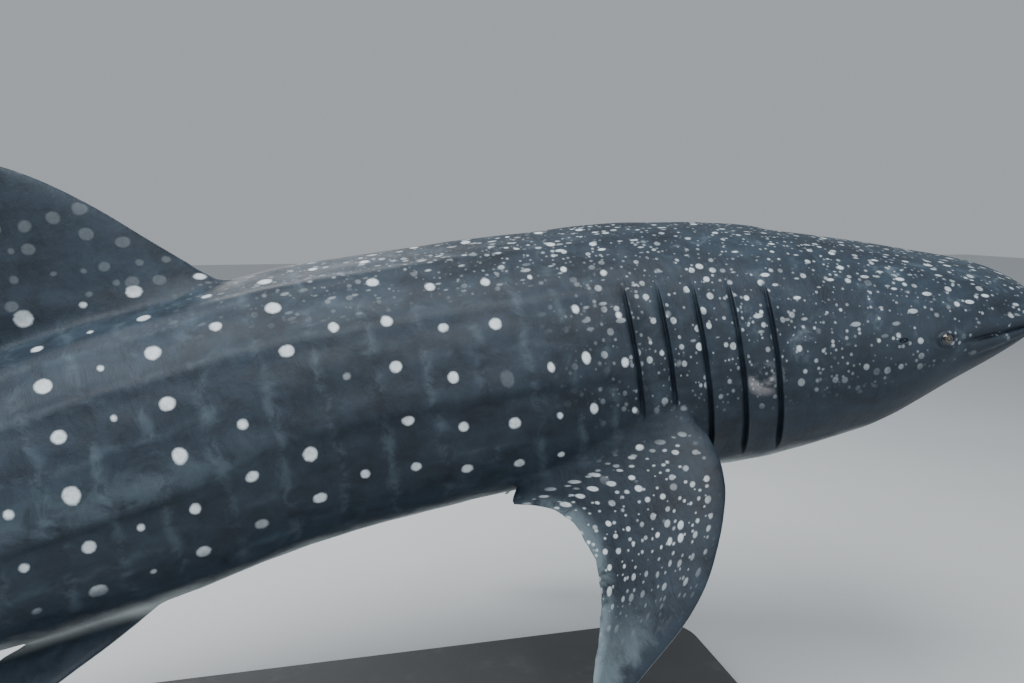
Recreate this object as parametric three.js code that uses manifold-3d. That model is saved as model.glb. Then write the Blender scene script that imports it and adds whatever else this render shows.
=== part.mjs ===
// Whale shark, life size, in a gentle turn to its right, held on a plain two-rod stand.
// Millimetres, +Z up, +X toward the snout, +Y to the animal's left.
// The body is drawn straight first, in body coordinates:
//   s  distance behind the snout, along the body
//   y  distance to the animal's left
//   z  height above the body's axis
// and place() then bends it along its turn, tips the nose up and lifts it onto the stand.

import * as THREE from "three";
import { mergeVertices } from "three/addons/utils/BufferGeometryUtils.js";
import Module from "manifold-3d";

const wasm = await Module();
wasm.setup();

// Overall sizes
const LENGTH = 7000;
const SNOUT = 0.009;
const GAP = 0.3;
const MERGE = 1e-3;

// The turn: heading of the axis in radians against the share of length behind the pivot,
// turned evenly up to TURN_END and straightening out behind it.
const PIVOT = 0.3;
const TURN_RATE = 1.6;
const TURN_GROWTH = 0.6;
const TURN_END = 0.25;
const TURN_FADE = 0.16;
const NOSE_UP = THREE.MathUtils.degToRad(9.2);
const TAIL_LIFT = 0.25;
const TAIL_LIFT_FROM = 0.55;
const PATH_STEP = 0.0005;

// Where the axis pivot stands over the centre of the base
const AXIS_HEIGHT = 1420;
const AXIS_X = 330;
const AXIS_Y = 120;

// Body outline at shares of the length behind the snout: back, belly and half width
const STATION = [0.009, 0.012, 0.017, 0.026, 0.052, 0.1, 0.16, 0.22, 0.3, 0.38, 0.46, 0.54, 0.62,
  0.7, 0.76, 0.8, 0.84, 0.868];
const BACK = [14, 56, 86, 121, 186, 292, 398, 455, 482, 492, 452, 360, 268,
  185, 135, 118, 88, 40];
const BELLY = [-24, -74, -108, -158, -256, -410, -470, -452, -418, -425, -470, -430, -330,
  -204, -135, -118, -88, -40];
const HALF_WIDTH = [250, 322, 356, 388, 444, 496, 522, 530, 515, 470, 415, 345, 265,
  180, 130, 100, 52, 14];
const AXIS_SHARE = 0.3;
const AXIS_DROP = 30;
const ROUNDNESS = 0.95;

// Mouth: a wide slit across the blunt front, its corners on the sides of the head
const MOUTH_CORNER = 0.056;
const MOUTH_SLIT_DEPTH = 30;
const MOUTH_SLIT_SHARE = 0.25;
const LIP_ROLL = 7;
const LIP_GROOVE = 15;
const LIP_ANGLE = 7.5;
const JAW_BACK = 0.1;
const JAW_REACH = 750;

// Eye, spiracle and nostril
const EYE_STATION = 0.066;
const EYE_ANGLE = 5;
const EYE_RADIUS = 26;
const EYE_SINK = 17;
const EYE_BROW = 14;
const EYE_BROW_WIDTH = 42;
const SPIRACLE_STATION = 0.087;
const SPIRACLE_ANGLE = 8;
const SPIRACLE_SIZE = [17, 10, 13];
const NOSTRIL_STATION = 0.0165;
const NOSTRIL_ANGLE = 33;
const NOSTRIL_SIZE = [13, 30, 9];

// Gill slits, five a side
const GILL_STATIONS = [0.148, 0.166, 0.184, 0.202, 0.219];
const GILL_TOP = 34;
const GILL_BOTTOM = -40;
const GILL_LIFT = 10;
const GILL_DROP = 15;
const GILL_STEP = 3;
const GILL_RISE = 44;
const GILL_BOW = 34;

// Ridges along each side, and the ridge along the mid-line of the back
const RIDGE_TOP = 65;
const RIDGE_MIDDLE = 38;
const RIDGE_WIDTH_TOP = 3.6;
const RIDGE_WIDTH_MIDDLE = 3.4;
const RIDGE_WIDTH_LOW = 4.2;

const clamp01 = (t) => Math.min(1, Math.max(0, t));
const smooth = (a, b, x) => {
  const t = clamp01((x - a) / (b - a));
  return t * t * (3 - 2 * t);
};
const radians = THREE.MathUtils.degToRad;
const bump = (x, width) => Math.exp(-(x * x) / (width * width));

// A smooth curve through a few stations that never overshoots them
function curve(xs, ys) {
  const n = xs.length;
  const slope = [];
  for (let i = 0; i < n - 1; i++) slope.push((ys[i + 1] - ys[i]) / (xs[i + 1] - xs[i]));
  const tangent = [slope[0]];
  for (let i = 1; i < n - 1; i++) {
    const a = slope[i - 1];
    const b = slope[i];
    const wa = 2 * (xs[i + 1] - xs[i]) + (xs[i] - xs[i - 1]);
    const wb = xs[i + 1] - xs[i] + 2 * (xs[i] - xs[i - 1]);
    tangent.push(a * b > 0 ? (wa + wb) / (wa / a + wb / b) : 0);
  }
  tangent.push(slope[n - 2]);
  return (x) => {
    const at = Math.min(xs[n - 1], Math.max(xs[0], x));
    let i = 0;
    while (i < n - 2 && at > xs[i + 1]) i++;
    const h = xs[i + 1] - xs[i];
    const t = (at - xs[i]) / h;
    const left = ys[i] * (1 + 2 * t) * (1 - t) ** 2 + h * tangent[i] * t * (1 - t) ** 2;
    const right = ys[i + 1] * t * t * (3 - 2 * t) + h * tangent[i + 1] * t * t * (t - 1);
    return left + right;
  };
}

const backAt = curve(STATION, BACK);
const bellyAt = curve(STATION, BELLY);
const widthAt = curve(STATION, HALF_WIDTH);
const axisAt = (f) => (backAt(f) + bellyAt(f)) * AXIS_SHARE - AXIS_DROP * smooth(0.9, 0.6, f);

// Heading of the axis at a share of the length
function headingAt(f) {
  const g = f - PIVOT;
  if (g <= TURN_END) return TURN_RATE * g + TURN_GROWTH * g * g;
  const start = TURN_RATE * TURN_END + TURN_GROWTH * TURN_END ** 2;
  const rate = TURN_RATE + 2 * TURN_GROWTH * TURN_END;
  return start + rate * TURN_FADE * (1 - Math.exp(-(g - TURN_END) / TURN_FADE));
}

// The turned axis, stepped out both ways from the pivot
function axisPath(direction, count) {
  const path = [[0, 0]];
  for (let i = 0; i < count; i++) {
    const a = headingAt(PIVOT + direction * (i + 0.5) * PATH_STEP);
    const [x, y] = path[i];
    path.push([
      x - direction * Math.cos(a) * PATH_STEP * LENGTH,
      y - direction * Math.sin(a) * PATH_STEP * LENGTH,
    ]);
  }
  return path;
}
const AHEAD = axisPath(-1, 800);
const BEHIND = axisPath(1, 1600);
function axisPoint(f) {
  const steps = Math.abs(f - PIVOT) / PATH_STEP;
  const path = f < PIVOT ? AHEAD : BEHIND;
  const i = Math.min(path.length - 2, Math.floor(steps));
  const t = steps - i;
  return [0, 1].map((k) => path[i][k] * (1 - t) + path[i + 1][k] * t);
}

// Body coordinates to the finished pose. A stiff fin keeps its shape: all of it is turned with
// the body at one share of the length, given as share.
function place([s, y, z], share = s / LENGTH) {
  const a = headingAt(share);
  const [cx, cy] = axisPoint(share);
  const behind = s - share * LENGTH;
  const up = z + TAIL_LIFT * Math.max(0, share - TAIL_LIFT_FROM) ** 2 * LENGTH;
  const x = cx - behind * Math.cos(a) - y * Math.sin(a);
  return [
    x * Math.cos(NOSE_UP) - up * Math.sin(NOSE_UP) + AXIS_X,
    cy - behind * Math.sin(a) + y * Math.cos(a) + AXIS_Y,
    x * Math.sin(NOSE_UP) + up * Math.cos(NOSE_UP) + AXIS_HEIGHT,
  ];
}

// Angle of the lowest ridge round the section, and how high each ridge stands
const lowRidgeAngle = curve([0.2, 0.38, 0.46, 0.55, 1], [7, 6, -0.5, -2.5, 0]);
const lowRidgeHeight = curve([0.2, 0.26, 0.45, 0.62, 0.7, 0.77, 0.83, 0.868], [0, 9, 15, 20, 34, 44, 24, 4]);
const sideRidgeHeight = curve([0.19, 0.26, 0.45, 0.62, 0.7, 0.76], [0, 8, 11, 9, 5, 0]);
const backRidgeHeight = curve([0.1, 0.2, 0.38, 0.41], [0, 8, 12, 0]);

// Profile along the body across one gill slit: a lifted flap, then the drop behind it
function gillProfile(d) {
  if (d < -GILL_RISE || d > GILL_RISE) return 0;
  if (d < -GILL_STEP) return (GILL_LIFT * (d + GILL_RISE)) / (GILL_RISE - GILL_STEP);
  if (d > GILL_STEP) return (-GILL_DROP * (GILL_RISE - d)) / (GILL_RISE - GILL_STEP);
  return GILL_LIFT - ((GILL_LIFT + GILL_DROP) * (d + GILL_STEP)) / (2 * GILL_STEP);
}

// Height of the skin's relief at share f and side angle a, degrees up from the side
function reliefAt(f, a) {
  const s = f * LENGTH;
  let h = sideRidgeHeight(f) * bump(a - RIDGE_TOP, RIDGE_WIDTH_TOP);
  h += sideRidgeHeight(f) * bump(a - RIDGE_MIDDLE, RIDGE_WIDTH_MIDDLE);
  h += lowRidgeHeight(f) * bump(a - lowRidgeAngle(f), RIDGE_WIDTH_LOW);
  h += backRidgeHeight(f) * bump(a - 90, 5);
  const mouth = smooth(MOUTH_CORNER + 0.006, MOUTH_CORNER - 0.012, f);
  h += mouth * LIP_ROLL * bump(Math.abs(a) - LIP_ANGLE, 5);
  h -= mouth * LIP_GROOVE * bump(a, 2.2);
  const eye = bump(s - EYE_STATION * LENGTH, EYE_BROW_WIDTH * 1.3) * bump(a - EYE_ANGLE, 12);
  h += EYE_BROW * eye;
  const open = smooth(GILL_BOTTOM - 8, GILL_BOTTOM + 8, a) * smooth(GILL_TOP + 8, GILL_TOP - 8, a);
  if (open > 0) for (const g of GILL_STATIONS) h += open * gillProfile(s - g * LENGTH);
  return h;
}

// A bow that leans the gill slits, fading out at the ends of the gill length
const GILL_FROM = 0.125;
const GILL_TO = 0.24;
function bowAt(f, a) {
  const inside = smooth(GILL_FROM, GILL_FROM + 0.014, f) * smooth(GILL_TO, GILL_TO - 0.014, f);
  return inside * GILL_BOW * Math.cos(radians(a + 6)) - inside * GILL_BOW * 0.6;
}

// A point of the skin; turn is degrees round the section: 0 right side, 90 back, 180 left side
function skinPoint(f, turn, extra = 0) {
  const t = radians(turn);
  const c = Math.cos(t);
  const n = Math.sin(t);
  const a = (Math.asin(Math.max(-1, Math.min(1, n))) * 180) / Math.PI;
  const w = widthAt(f);
  const mid = axisAt(f);
  const h = n > 0 ? backAt(f) - mid : mid - bellyAt(f);
  const y = -w * Math.sign(c) * Math.abs(c) ** ROUNDNESS;
  const z = mid + h * Math.sign(n) * Math.abs(n) ** ROUNDNESS;
  const ny = -c / w;
  const nz = n / h;
  const len = Math.hypot(ny, nz);
  const lift = reliefAt(f, a) * smooth(SNOUT, SNOUT + 0.004, f) + extra;
  return [f * LENGTH + bowAt(f, a), y + (lift * ny) / len, z + (lift * nz) / len];
}

// Geometry of a closed solid from rings of points, each ring the same length
function ringSolid(rings) {
  const count = rings[0].length;
  const position = rings.flat(2);
  const index = [];
  for (let i = 0; i < rings.length - 1; i++) {
    for (let j = 0; j < count; j++) {
      const a = i * count + j;
      const b = i * count + ((j + 1) % count);
      index.push(a, b, b + count, a, b + count, a + count);
    }
  }
  const centre = (ring) => [0, 1, 2].map((k) => ring.reduce((sum, p) => sum + p[k], 0) / count);
  const first = position.length / 3;
  position.push(...centre(rings[0]), ...centre(rings[rings.length - 1]));
  const last = (rings.length - 1) * count;
  for (let j = 0; j < count; j++) {
    const next = (j + 1) % count;
    index.push(first, next, j);
    index.push(first + 1, last + j, last + next);
  }
  const geometry = new THREE.BufferGeometry();
  geometry.setAttribute("position", new THREE.Float32BufferAttribute(position, 3));
  geometry.setIndex(index);
  return geometry;
}

// Solids for joining and cutting
function solidOf(geometry) {
  const plain = new THREE.BufferGeometry();
  plain.setAttribute("position", geometry.getAttribute("position").clone());
  plain.setIndex(geometry.index ? geometry.index.clone() : null);
  const merged = mergeVertices(plain, MERGE);
  const triVerts = new Uint32Array(merged.index.array);
  const made = () =>
    new wasm.Manifold(
      new wasm.Mesh({ numProp: 3, vertProperties: merged.attributes.position.array, triVerts }),
    );
  const solid = made();
  if (solid.volume() > 0) return solid;
  for (let i = 0; i < triVerts.length; i += 3) {
    [triVerts[i + 1], triVerts[i + 2]] = [triVerts[i + 2], triVerts[i + 1]];
  }
  return made();
}

function largest(solid) {
  const bodies = solid.decompose();
  return bodies.reduce((best, body) => (body.volume() > best.volume() ? body : best));
}

function geometryOf(solid) {
  const mesh = solid.getMesh();
  const geometry = new THREE.BufferGeometry();
  const stride = mesh.numProp;
  const position = new Float32Array(mesh.numVert * 3);
  for (let i = 0; i < mesh.numVert; i++) {
    position.set(mesh.vertProperties.subarray(i * stride, i * stride + 3), i * 3);
  }
  geometry.setAttribute("position", new THREE.BufferAttribute(position, 3));
  geometry.setIndex(new THREE.BufferAttribute(mesh.triVerts, 1));
  return geometry;
}

function placedSolid(rings, share) {
  return solidOf(ringSolid(rings.map((ring) => ring.map((p) => place(p, share)))));
}

// Degrees round one side at which the skin has its lengthwise edges, close by each ridge
const HALF_TURN = [-90, -73, -57, -43, -31, -20, -11, -5.5, -2.5, 0, 2.5, 5.5, 9, 15, 24, 32, 38, 44,
  52, 60, 65, 70, 80, 90];
const TURNS = [...HALF_TURN, ...HALF_TURN.slice(1, -1).map((a) => 180 - a).reverse()];
const HALF_TURN_PLAIN = [-90, -70, -50, -31, -14, -3, 6, 14, 26, 34, 38, 42, 54, 65, 77, 90];

const evenly = (from, to, count) =>
  Array.from({ length: count + 1 }, (_, i) => from + ((to - from) * i) / count);

function bodyRings(stations, turns, extra = 0) {
  return stations.map((f) => turns.map((turn) => skinPoint(f, turn, extra)));
}

// The rings that fold in at the front and form the slit between the lips
function mouthRings(turns, extra = 0) {
  const share = MOUTH_SLIT_SHARE;
  const inner = turns.map((turn) => {
    const [s, y, z] = skinPoint(SNOUT, turn, extra);
    const mid = axisAt(SNOUT);
    return [s + MOUTH_SLIT_DEPTH, y * (1 - 0.35 * share), mid + (z - mid) * share];
  });
  const lip = turns.map((turn) => {
    const [s, y, z] = skinPoint(SNOUT, turn, extra);
    const mid = axisAt(SNOUT);
    return [s + 6, y * 0.99, mid + (z - mid) * 0.6];
  });
  return [inner, lip];
}

// Stations of each length of the body
const HEAD_END = 0.125;
const headStations = [SNOUT, 0.0102, 0.0125, 0.0165, 0.022, 0.029, 0.037, 0.045, 0.053, 0.061, 0.07,
  0.081, 0.094, 0.109, HEAD_END];
const gillStations = [GILL_FROM];
for (const g of GILL_STATIONS) {
  for (const d of [-GILL_RISE, -GILL_STEP, GILL_STEP, GILL_RISE]) gillStations.push(g + d / LENGTH);
}
gillStations.push(GILL_TO);
const FRONT_END = 0.36;
const MIDDLE_END = 0.5;
const REAR_END = 0.63;
const TAIL_END = 0.868;
const frontStations = evenly(GILL_TO, FRONT_END, 6);
const middleStations = evenly(FRONT_END, MIDDLE_END, 7);
const rearStations = evenly(MIDDLE_END, REAR_END, 7);
const tailStations = [...evenly(REAR_END, 0.76, 7), 0.775, 0.79, 0.81, 0.83, 0.85, TAIL_END];

// One length of the body, stopped half a gap short of its neighbours
function bodyLength(stations) {
  const rings = bodyRings(stations, TURNS);
  const half = GAP / 2;
  rings[0].forEach((p) => (p[0] += half));
  rings[rings.length - 1].forEach((p) => (p[0] -= half));
  return rings;
}

// The whole body a gap larger all round, which trims everything that meets it
const wholeStations = [...headStations, ...gillStations.slice(1), ...frontStations.slice(1),
  ...middleStations.slice(1), ...rearStations.slice(1), ...tailStations.slice(1)];
const bodyCutter = placedSolid([...mouthRings(TURNS, GAP), ...bodyRings(wholeStations, TURNS, GAP)]);

// A closed ball or bean on the skin: half sizes along the body, round it and through it
function ellipsoidOn(f, turn, size, sink) {
  const c = new THREE.Vector3(...place(skinPoint(f, turn)));
  const along = new THREE.Vector3(...place(skinPoint(f + 0.002, turn))).sub(c).normalize();
  const round = new THREE.Vector3(...place(skinPoint(f, turn + 1))).sub(c).normalize();
  const out = new THREE.Vector3().crossVectors(along, round).normalize();
  const mid = new THREE.Vector3(...place([f * LENGTH, 0, axisAt(f)]));
  if (out.dot(mid.clone().sub(c)) > 0) out.negate();
  const side = new THREE.Vector3().crossVectors(out, along);
  const ball = new THREE.IcosahedronGeometry(1, 2);
  const basis = new THREE.Matrix4().makeBasis(
    along.multiplyScalar(size[0]),
    side.multiplyScalar(size[1]),
    out.clone().multiplyScalar(size[2]),
  );
  basis.setPosition(c.addScaledVector(out, -sink));
  ball.applyMatrix4(basis);
  return ball;
}

const bothSides = (turn) => [turn, 180 - turn];

// Head, with the mouth slit, eye sockets, spiracles and nostrils
const headRings = [...mouthRings(TURNS), ...bodyRings(headStations, TURNS)];
headRings[headRings.length - 1].forEach((p) => (p[0] -= GAP / 2));
let headWhole = placedSolid(headRings);
const eyeBall = (turn, grow) => {
  const r = EYE_RADIUS + grow;
  return ellipsoidOn(EYE_STATION, turn, [r, r, r], EYE_SINK);
};
for (const turn of bothSides(EYE_ANGLE)) {
  headWhole = headWhole.subtract(solidOf(eyeBall(turn, GAP)));
}
for (const turn of bothSides(SPIRACLE_ANGLE)) {
  headWhole = headWhole.subtract(solidOf(ellipsoidOn(SPIRACLE_STATION, turn, SPIRACLE_SIZE, 0)));
}
for (const turn of bothSides(NOSTRIL_ANGLE)) {
  headWhole = headWhole.subtract(solidOf(ellipsoidOn(NOSTRIL_STATION, turn, NOSTRIL_SIZE, 0)));
}

// The block that parts the lower jaw from the head along the line of the mouth
function jawBlock(shift) {
  const line = evenly(SNOUT, MOUTH_CORNER, 6).map((f) => [f * LENGTH, axisAt(f)]);
  const loop = [[-100, axisAt(SNOUT)], ...line, [JAW_BACK * LENGTH, -JAW_REACH], [-100, -JAW_REACH]];
  loop.reverse();
  const shape = loop.map(([s, z]) => new THREE.Vector2(s, z));
  const faces = THREE.ShapeUtils.triangulateShape(shape, []);
  const position = [];
  for (const y of [-JAW_REACH, JAW_REACH]) {
    for (const [s, z] of loop) position.push(...place([s + shift, y, z + shift]));
  }
  const n = loop.length;
  const index = [];
  for (const [a, b, c] of faces) index.push(a, b, c, a + n, c + n, b + n);
  for (let i = 0; i < n; i++) {
    const j = (i + 1) % n;
    index.push(j, i, i + n, j, i + n, j + n);
  }
  const geometry = new THREE.BufferGeometry();
  geometry.setAttribute("position", new THREE.Float32BufferAttribute(position, 3));
  geometry.setIndex(index);
  return solidOf(geometry);
}

// Fins
// Each fin is a row of sections from its root to its tip. A section runs from a front point to
// a rear point with a rounded front and a thin rear, as thick as given, across the way given.
const FIN_STEPS = 8;
const EDGE = 1.5;
function finLoop(front, rear, thick, across) {
  const half = [];
  for (let i = 0; i <= FIN_STEPS; i++) {
    const u = 0.5 - 0.5 * Math.cos((Math.PI * i) / FIN_STEPS);
    const shape = 2.969 * Math.sqrt(u) - 1.26 * u - 3.516 * u ** 2 + 2.843 * u ** 3 - 1.036 * u ** 4;
    half.push([u, Math.max(0, shape) * 0.5 * thick + EDGE * Math.min(1, 6 * u)]);
  }
  const at = ([u, t], sign) =>
    [0, 1, 2].map((k) => front[k] + (rear[k] - front[k]) * u + across[k] * t * sign);
  const upper = half.slice(1).map((p) => at(p, 1));
  const lower = half.slice(1).map((p) => at(p, -1)).reverse();
  return [at([0, 0], 0), ...upper, ...lower];
}

const unit = (v) => {
  const len = Math.hypot(...v);
  return v.map((c) => c / len);
};
const cross = (a, b) => [
  a[1] * b[2] - a[2] * b[1],
  a[2] * b[0] - a[0] * b[2],
  a[0] * b[1] - a[1] * b[0],
];
const walk = (p, steps) => p.map((c, k) => c + steps.reduce((sum, [way, d]) => sum + way[k] * d, 0));
const mirrored = (rings) => rings.map((ring) => ring.map(([s, y, z]) => [s, -y, z]));

// A fin spread on a flat plane: front and rear edges at each distance out from the root
function flatFin(root, chordWay, outWay, outs, frontEdge, rearEdge, thickness) {
  const across = unit(cross(chordWay, outWay));
  return outs.map((out) => {
    const front = walk(root, [[chordWay, frontEdge(out)], [outWay, out]]);
    const rear = walk(root, [[chordWay, rearEdge(out)], [outWay, out]]);
    return finLoop(front, rear, thickness(out), across);
  });
}
const trimmed = (rings, share) => largest(placedSolid(rings, share).subtract(bodyCutter));

// Pectoral fin: a broad sickle, drooping, its front edge set higher than its rear
const PECTORAL_FRONT = [0.195, -14];
const PECTORAL_REAR = [0.262, -39];
const PECTORAL_DROOP = radians(45);
const PECTORAL_SHARE = 0.2285;
const PECTORAL_ROOT = [1402, -518, -148];
const PECTORAL_OUTS = [-110, 0, 40, 70, 115, 180, 260, 350, 440, 530, 610, 680, 740, 785];
const pectoralFront = curve(
  [-110, 0, 80, 160, 240, 340, 420, 495, 570, 670, 747, 785],
  [14, 0, -22, -24, -10, 37, 90, 151, 239, 412, 549, 612],
);
const pectoralRear = curve(
  [-105, 13, 38, 71, 120, 200, 330, 450, 550, 678, 786],
  [515, 631, 646, 587, 512, 462, 439, 463, 508, 572, 633],
);
const pectoralThick = curve([-110, 0, 60, 160, 420, 680, 785], [100, 92, 70, 56, 38, 16, 8]);
const pectoralFore = skinPoint(...PECTORAL_FRONT);
const pectoralBack = skinPoint(...PECTORAL_REAR);
const pectoralChord = unit(pectoralBack.map((c, k) => c - pectoralFore[k]));
const droopWay = [0, -Math.cos(PECTORAL_DROOP), -Math.sin(PECTORAL_DROOP)];
const droopAlong = droopWay.reduce((sum, c, k) => sum + c * pectoralChord[k], 0);
const pectoralOut = unit(droopWay.map((c, k) => c - droopAlong * pectoralChord[k]));
const pectoralRings = flatFin(
  PECTORAL_ROOT, pectoralChord, pectoralOut, PECTORAL_OUTS, pectoralFront, pectoralRear, pectoralThick,
);

// Pelvic fin: small and swept back, spread out from the lower corner of the belly
const PELVIC_FRONT = [0.465, -66];
const PELVIC_REAR = [0.5, -66];
const PELVIC_DROOP = radians(20);
const PELVIC_SHARE = 0.478;
const PELVIC_ROOT = [3258, -178, -432];
const PELVIC_OUTS = [-90, 0, 25, 50, 90, 130, 175, 215, 240];
const pelvicFront = curve([-90, 0, 60, 110, 165, 215, 240], [-40, 0, 75, 150, 245, 330, 375]);
const pelvicRear = curve([-90, 0, 25, 60, 110, 165, 215, 240], [240, 290, 420, 430, 425, 424, 424, 420]);
const pelvicThick = curve([-90, 0, 60, 165, 240], [56, 46, 30, 18, 7]);
const pelvicFore = skinPoint(...PELVIC_FRONT);
const pelvicBack = skinPoint(...PELVIC_REAR);
const pelvicChord = unit(pelvicBack.map((c, k) => c - pelvicFore[k]));
const pelvicOut = unit([0, -Math.cos(PELVIC_DROOP), -Math.sin(PELVIC_DROOP)]);
const pelvicRings = flatFin(
  PELVIC_ROOT, pelvicChord, pelvicOut, PELVIC_OUTS, pelvicFront, pelvicRear, pelvicThick,
);

// Fins on the mid-line, spread on the upright plane; outs are heights above the root line
function midFin(from, rootZ, up, outs, frontEdge, rearEdge, thickness) {
  return flatFin([from * LENGTH, 0, rootZ], [1, 0, 0], [0, 0, up], outs, frontEdge, rearEdge, thickness);
}
const DORSAL_FROM = 0.403;
const DORSAL_OUTS = [-170, -60, 0, 40, 90, 160, 240, 320, 390, 440, 470];
const dorsalFront = curve([-170, -60, 0, 56, 175, 296, 390, 440, 470], [-60, -30, 0, 63, 189, 315, 432, 512, 575]);
const dorsalRear = curve([-170, -60, 0, 40, 90, 160, 240, 320, 390, 440, 470],
  [640, 690, 760, 880, 840, 770, 714, 690, 684, 680, 660]);
const dorsalThick = curve([-170, 0, 60, 160, 390, 470], [110, 96, 70, 54, 26, 10]);
const dorsalRings = midFin(DORSAL_FROM, 487, 1, DORSAL_OUTS, dorsalFront, dorsalRear, dorsalThick);

const SECOND_FROM = 0.638;
const SECOND_OUTS = [-70, -20, 10, 30, 60, 110, 160, 200, 222];
const secondFront = curve([-70, 0, 60, 110, 160, 200, 222], [-20, 0, 60, 112, 175, 240, 292]);
const secondRear = curve([-70, -20, 10, 30, 60, 110, 160, 200, 222], [215, 228, 250, 372, 352, 326, 318, 322, 328]);
const secondThick = curve([-70, 0, 60, 222], [44, 36, 22, 7]);
const secondRings = midFin(SECOND_FROM, 243, 1, SECOND_OUTS, secondFront, secondRear, secondThick);

const ANAL_FROM = 0.66;
const analRings = midFin(ANAL_FROM, -255, -1, SECOND_OUTS, secondFront, secondRear, secondThick);

// Tail fin: sections lie level, stacked from the tail's axis to the tip of each lobe
const UPPER_OUTS = [GAP / 2, 60, 140, 240, 360, 500, 660, 830, 1000, 1150, 1260, 1330];
const upperFront = curve(
  [0, 60, 140, 240, 360, 500, 660, 830, 1000, 1150, 1260, 1330],
  [5350, 5385, 5455, 5560, 5695, 5855, 6040, 6240, 6450, 6650, 6815, 6930],
);
const upperRear = curve(
  [0, 60, 140, 240, 360, 500, 660, 830, 1000, 1150, 1260, 1330],
  [6220, 6228, 6262, 6332, 6430, 6548, 6680, 6800, 6900, 6968, 6995, 6988],
);
const lobeThick = curve([0, 100, 300, 700, 1330], [120, 104, 70, 44, 12]);
const LOWER_OUTS = [GAP / 2, 60, 140, 230, 340, 460, 580, 680, 750, 790];
const lowerFront = curve(
  [0, 60, 140, 230, 340, 460, 580, 680, 750, 790],
  [5370, 5400, 5455, 5530, 5630, 5740, 5855, 5965, 6065, 6135],
);
const lowerRear = curve(
  [0, 60, 140, 230, 340, 460, 580, 680, 750, 790],
  [6220, 6215, 6200, 6185, 6168, 6158, 6160, 6172, 6190, 6195],
);
const lowerThick = curve([0, 100, 300, 790], [120, 100, 60, 10]);
const upperRings = midFin(0, 0, 1, UPPER_OUTS, upperFront, upperRear, lobeThick);
const lowerRings = midFin(0, 0, -1, LOWER_OUTS, lowerFront, lowerRear, lowerThick);

// Stand: a flat base and two rods up into the belly
const BASE_LENGTH = 3000;
const BASE_WIDTH = 1300;
const BASE_THICK = 60;
const BASE_CORNER = 180;
const BASE_BEVEL = 6;
const ROD_RADIUS = 38;
const ROD_SIDES = 32;
const FRONT_ROD = 0.215;
const REAR_ROD = 0.535;
const ROD_BURIED = 200;

function rodAt(f) {
  const [x, y, z] = place([f * LENGTH, 0, bellyAt(f) + ROD_BURIED]);
  const bottom = BASE_THICK + GAP;
  const rod = new THREE.CylinderGeometry(ROD_RADIUS, ROD_RADIUS, z - bottom, ROD_SIDES);
  rod.rotateX(Math.PI / 2);
  rod.translate(x, y, (z + bottom) / 2);
  return largest(solidOf(rod).subtract(bodyCutter));
}

function baseGeometry() {
  const inset = BASE_BEVEL;
  const x = BASE_LENGTH / 2 - inset;
  const y = BASE_WIDTH / 2 - inset;
  const r = BASE_CORNER - inset;
  const shape = new THREE.Shape();
  shape.moveTo(-x + r, -y);
  shape.lineTo(x - r, -y);
  shape.absarc(x - r, -y + r, r, -Math.PI / 2, 0);
  shape.lineTo(x, y - r);
  shape.absarc(x - r, y - r, r, 0, Math.PI / 2);
  shape.lineTo(-x + r, y);
  shape.absarc(-x + r, y - r, r, Math.PI / 2, Math.PI);
  shape.lineTo(-x, -y + r);
  shape.absarc(-x + r, -y + r, r, Math.PI, Math.PI * 1.5);
  const plate = new THREE.ExtrudeGeometry(shape, {
    depth: BASE_THICK - 2 * BASE_BEVEL,
    bevelEnabled: true,
    bevelThickness: BASE_BEVEL,
    bevelSize: BASE_BEVEL,
    bevelSegments: 2,
    curveSegments: 8,
  });
  plate.translate(0, 0, BASE_BEVEL);
  return plate;
}

// Colours, roughness and metalness of each kind of surface
const SKIN = { color: 0x3b4b5a, roughness: 0.55, metalness: 0 };
const SKIN_DARK = { color: 0x33424f, roughness: 0.55, metalness: 0 };
const EYE = { color: 0x0b0d10, roughness: 0.15, metalness: 0 };
const STEEL = { color: 0xa9adb0, roughness: 0.35, metalness: 1 };
const BASE = { color: 0x2b2e31, roughness: 0.6, metalness: 0 };

const whaleShark = new THREE.Group();
whaleShark.name = "whale_shark";
function add(name, geometry, look) {
  const mesh = new THREE.Mesh(geometry, new THREE.MeshStandardMaterial(look));
  mesh.name = name;
  whaleShark.add(mesh);
}

add("head", geometryOf(largest(headWhole.subtract(jawBlock(GAP)))), SKIN);
add("lower_jaw", geometryOf(largest(headWhole.intersect(jawBlock(0)))), SKIN);
add("eye_right", geometryOf(solidOf(eyeBall(EYE_ANGLE, 0))), EYE);
add("eye_left", geometryOf(solidOf(eyeBall(180 - EYE_ANGLE, 0))), EYE);
add("gills", geometryOf(placedSolid(bodyLength(gillStations))), SKIN);
add("trunk_front", geometryOf(placedSolid(bodyLength(frontStations))), SKIN);
add("trunk_middle", geometryOf(placedSolid(bodyLength(middleStations))), SKIN);
add("trunk_rear", geometryOf(placedSolid(bodyLength(rearStations))), SKIN);
add("tail_stalk", geometryOf(placedSolid(bodyLength(tailStations))), SKIN);
add("tail_lobe_upper", geometryOf(trimmed(upperRings)), SKIN_DARK);
add("tail_lobe_lower", geometryOf(trimmed(lowerRings)), SKIN_DARK);
add("pectoral_right", geometryOf(trimmed(pectoralRings, PECTORAL_SHARE)), SKIN_DARK);
add("pectoral_left", geometryOf(trimmed(mirrored(pectoralRings), PECTORAL_SHARE)), SKIN_DARK);
add("pelvic_right", geometryOf(trimmed(pelvicRings, PELVIC_SHARE)), SKIN_DARK);
add("pelvic_left", geometryOf(trimmed(mirrored(pelvicRings), PELVIC_SHARE)), SKIN_DARK);
add("dorsal_first", geometryOf(trimmed(dorsalRings)), SKIN_DARK);
add("dorsal_second", geometryOf(trimmed(secondRings)), SKIN_DARK);
add("anal_fin", geometryOf(trimmed(analRings)), SKIN_DARK);
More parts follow.
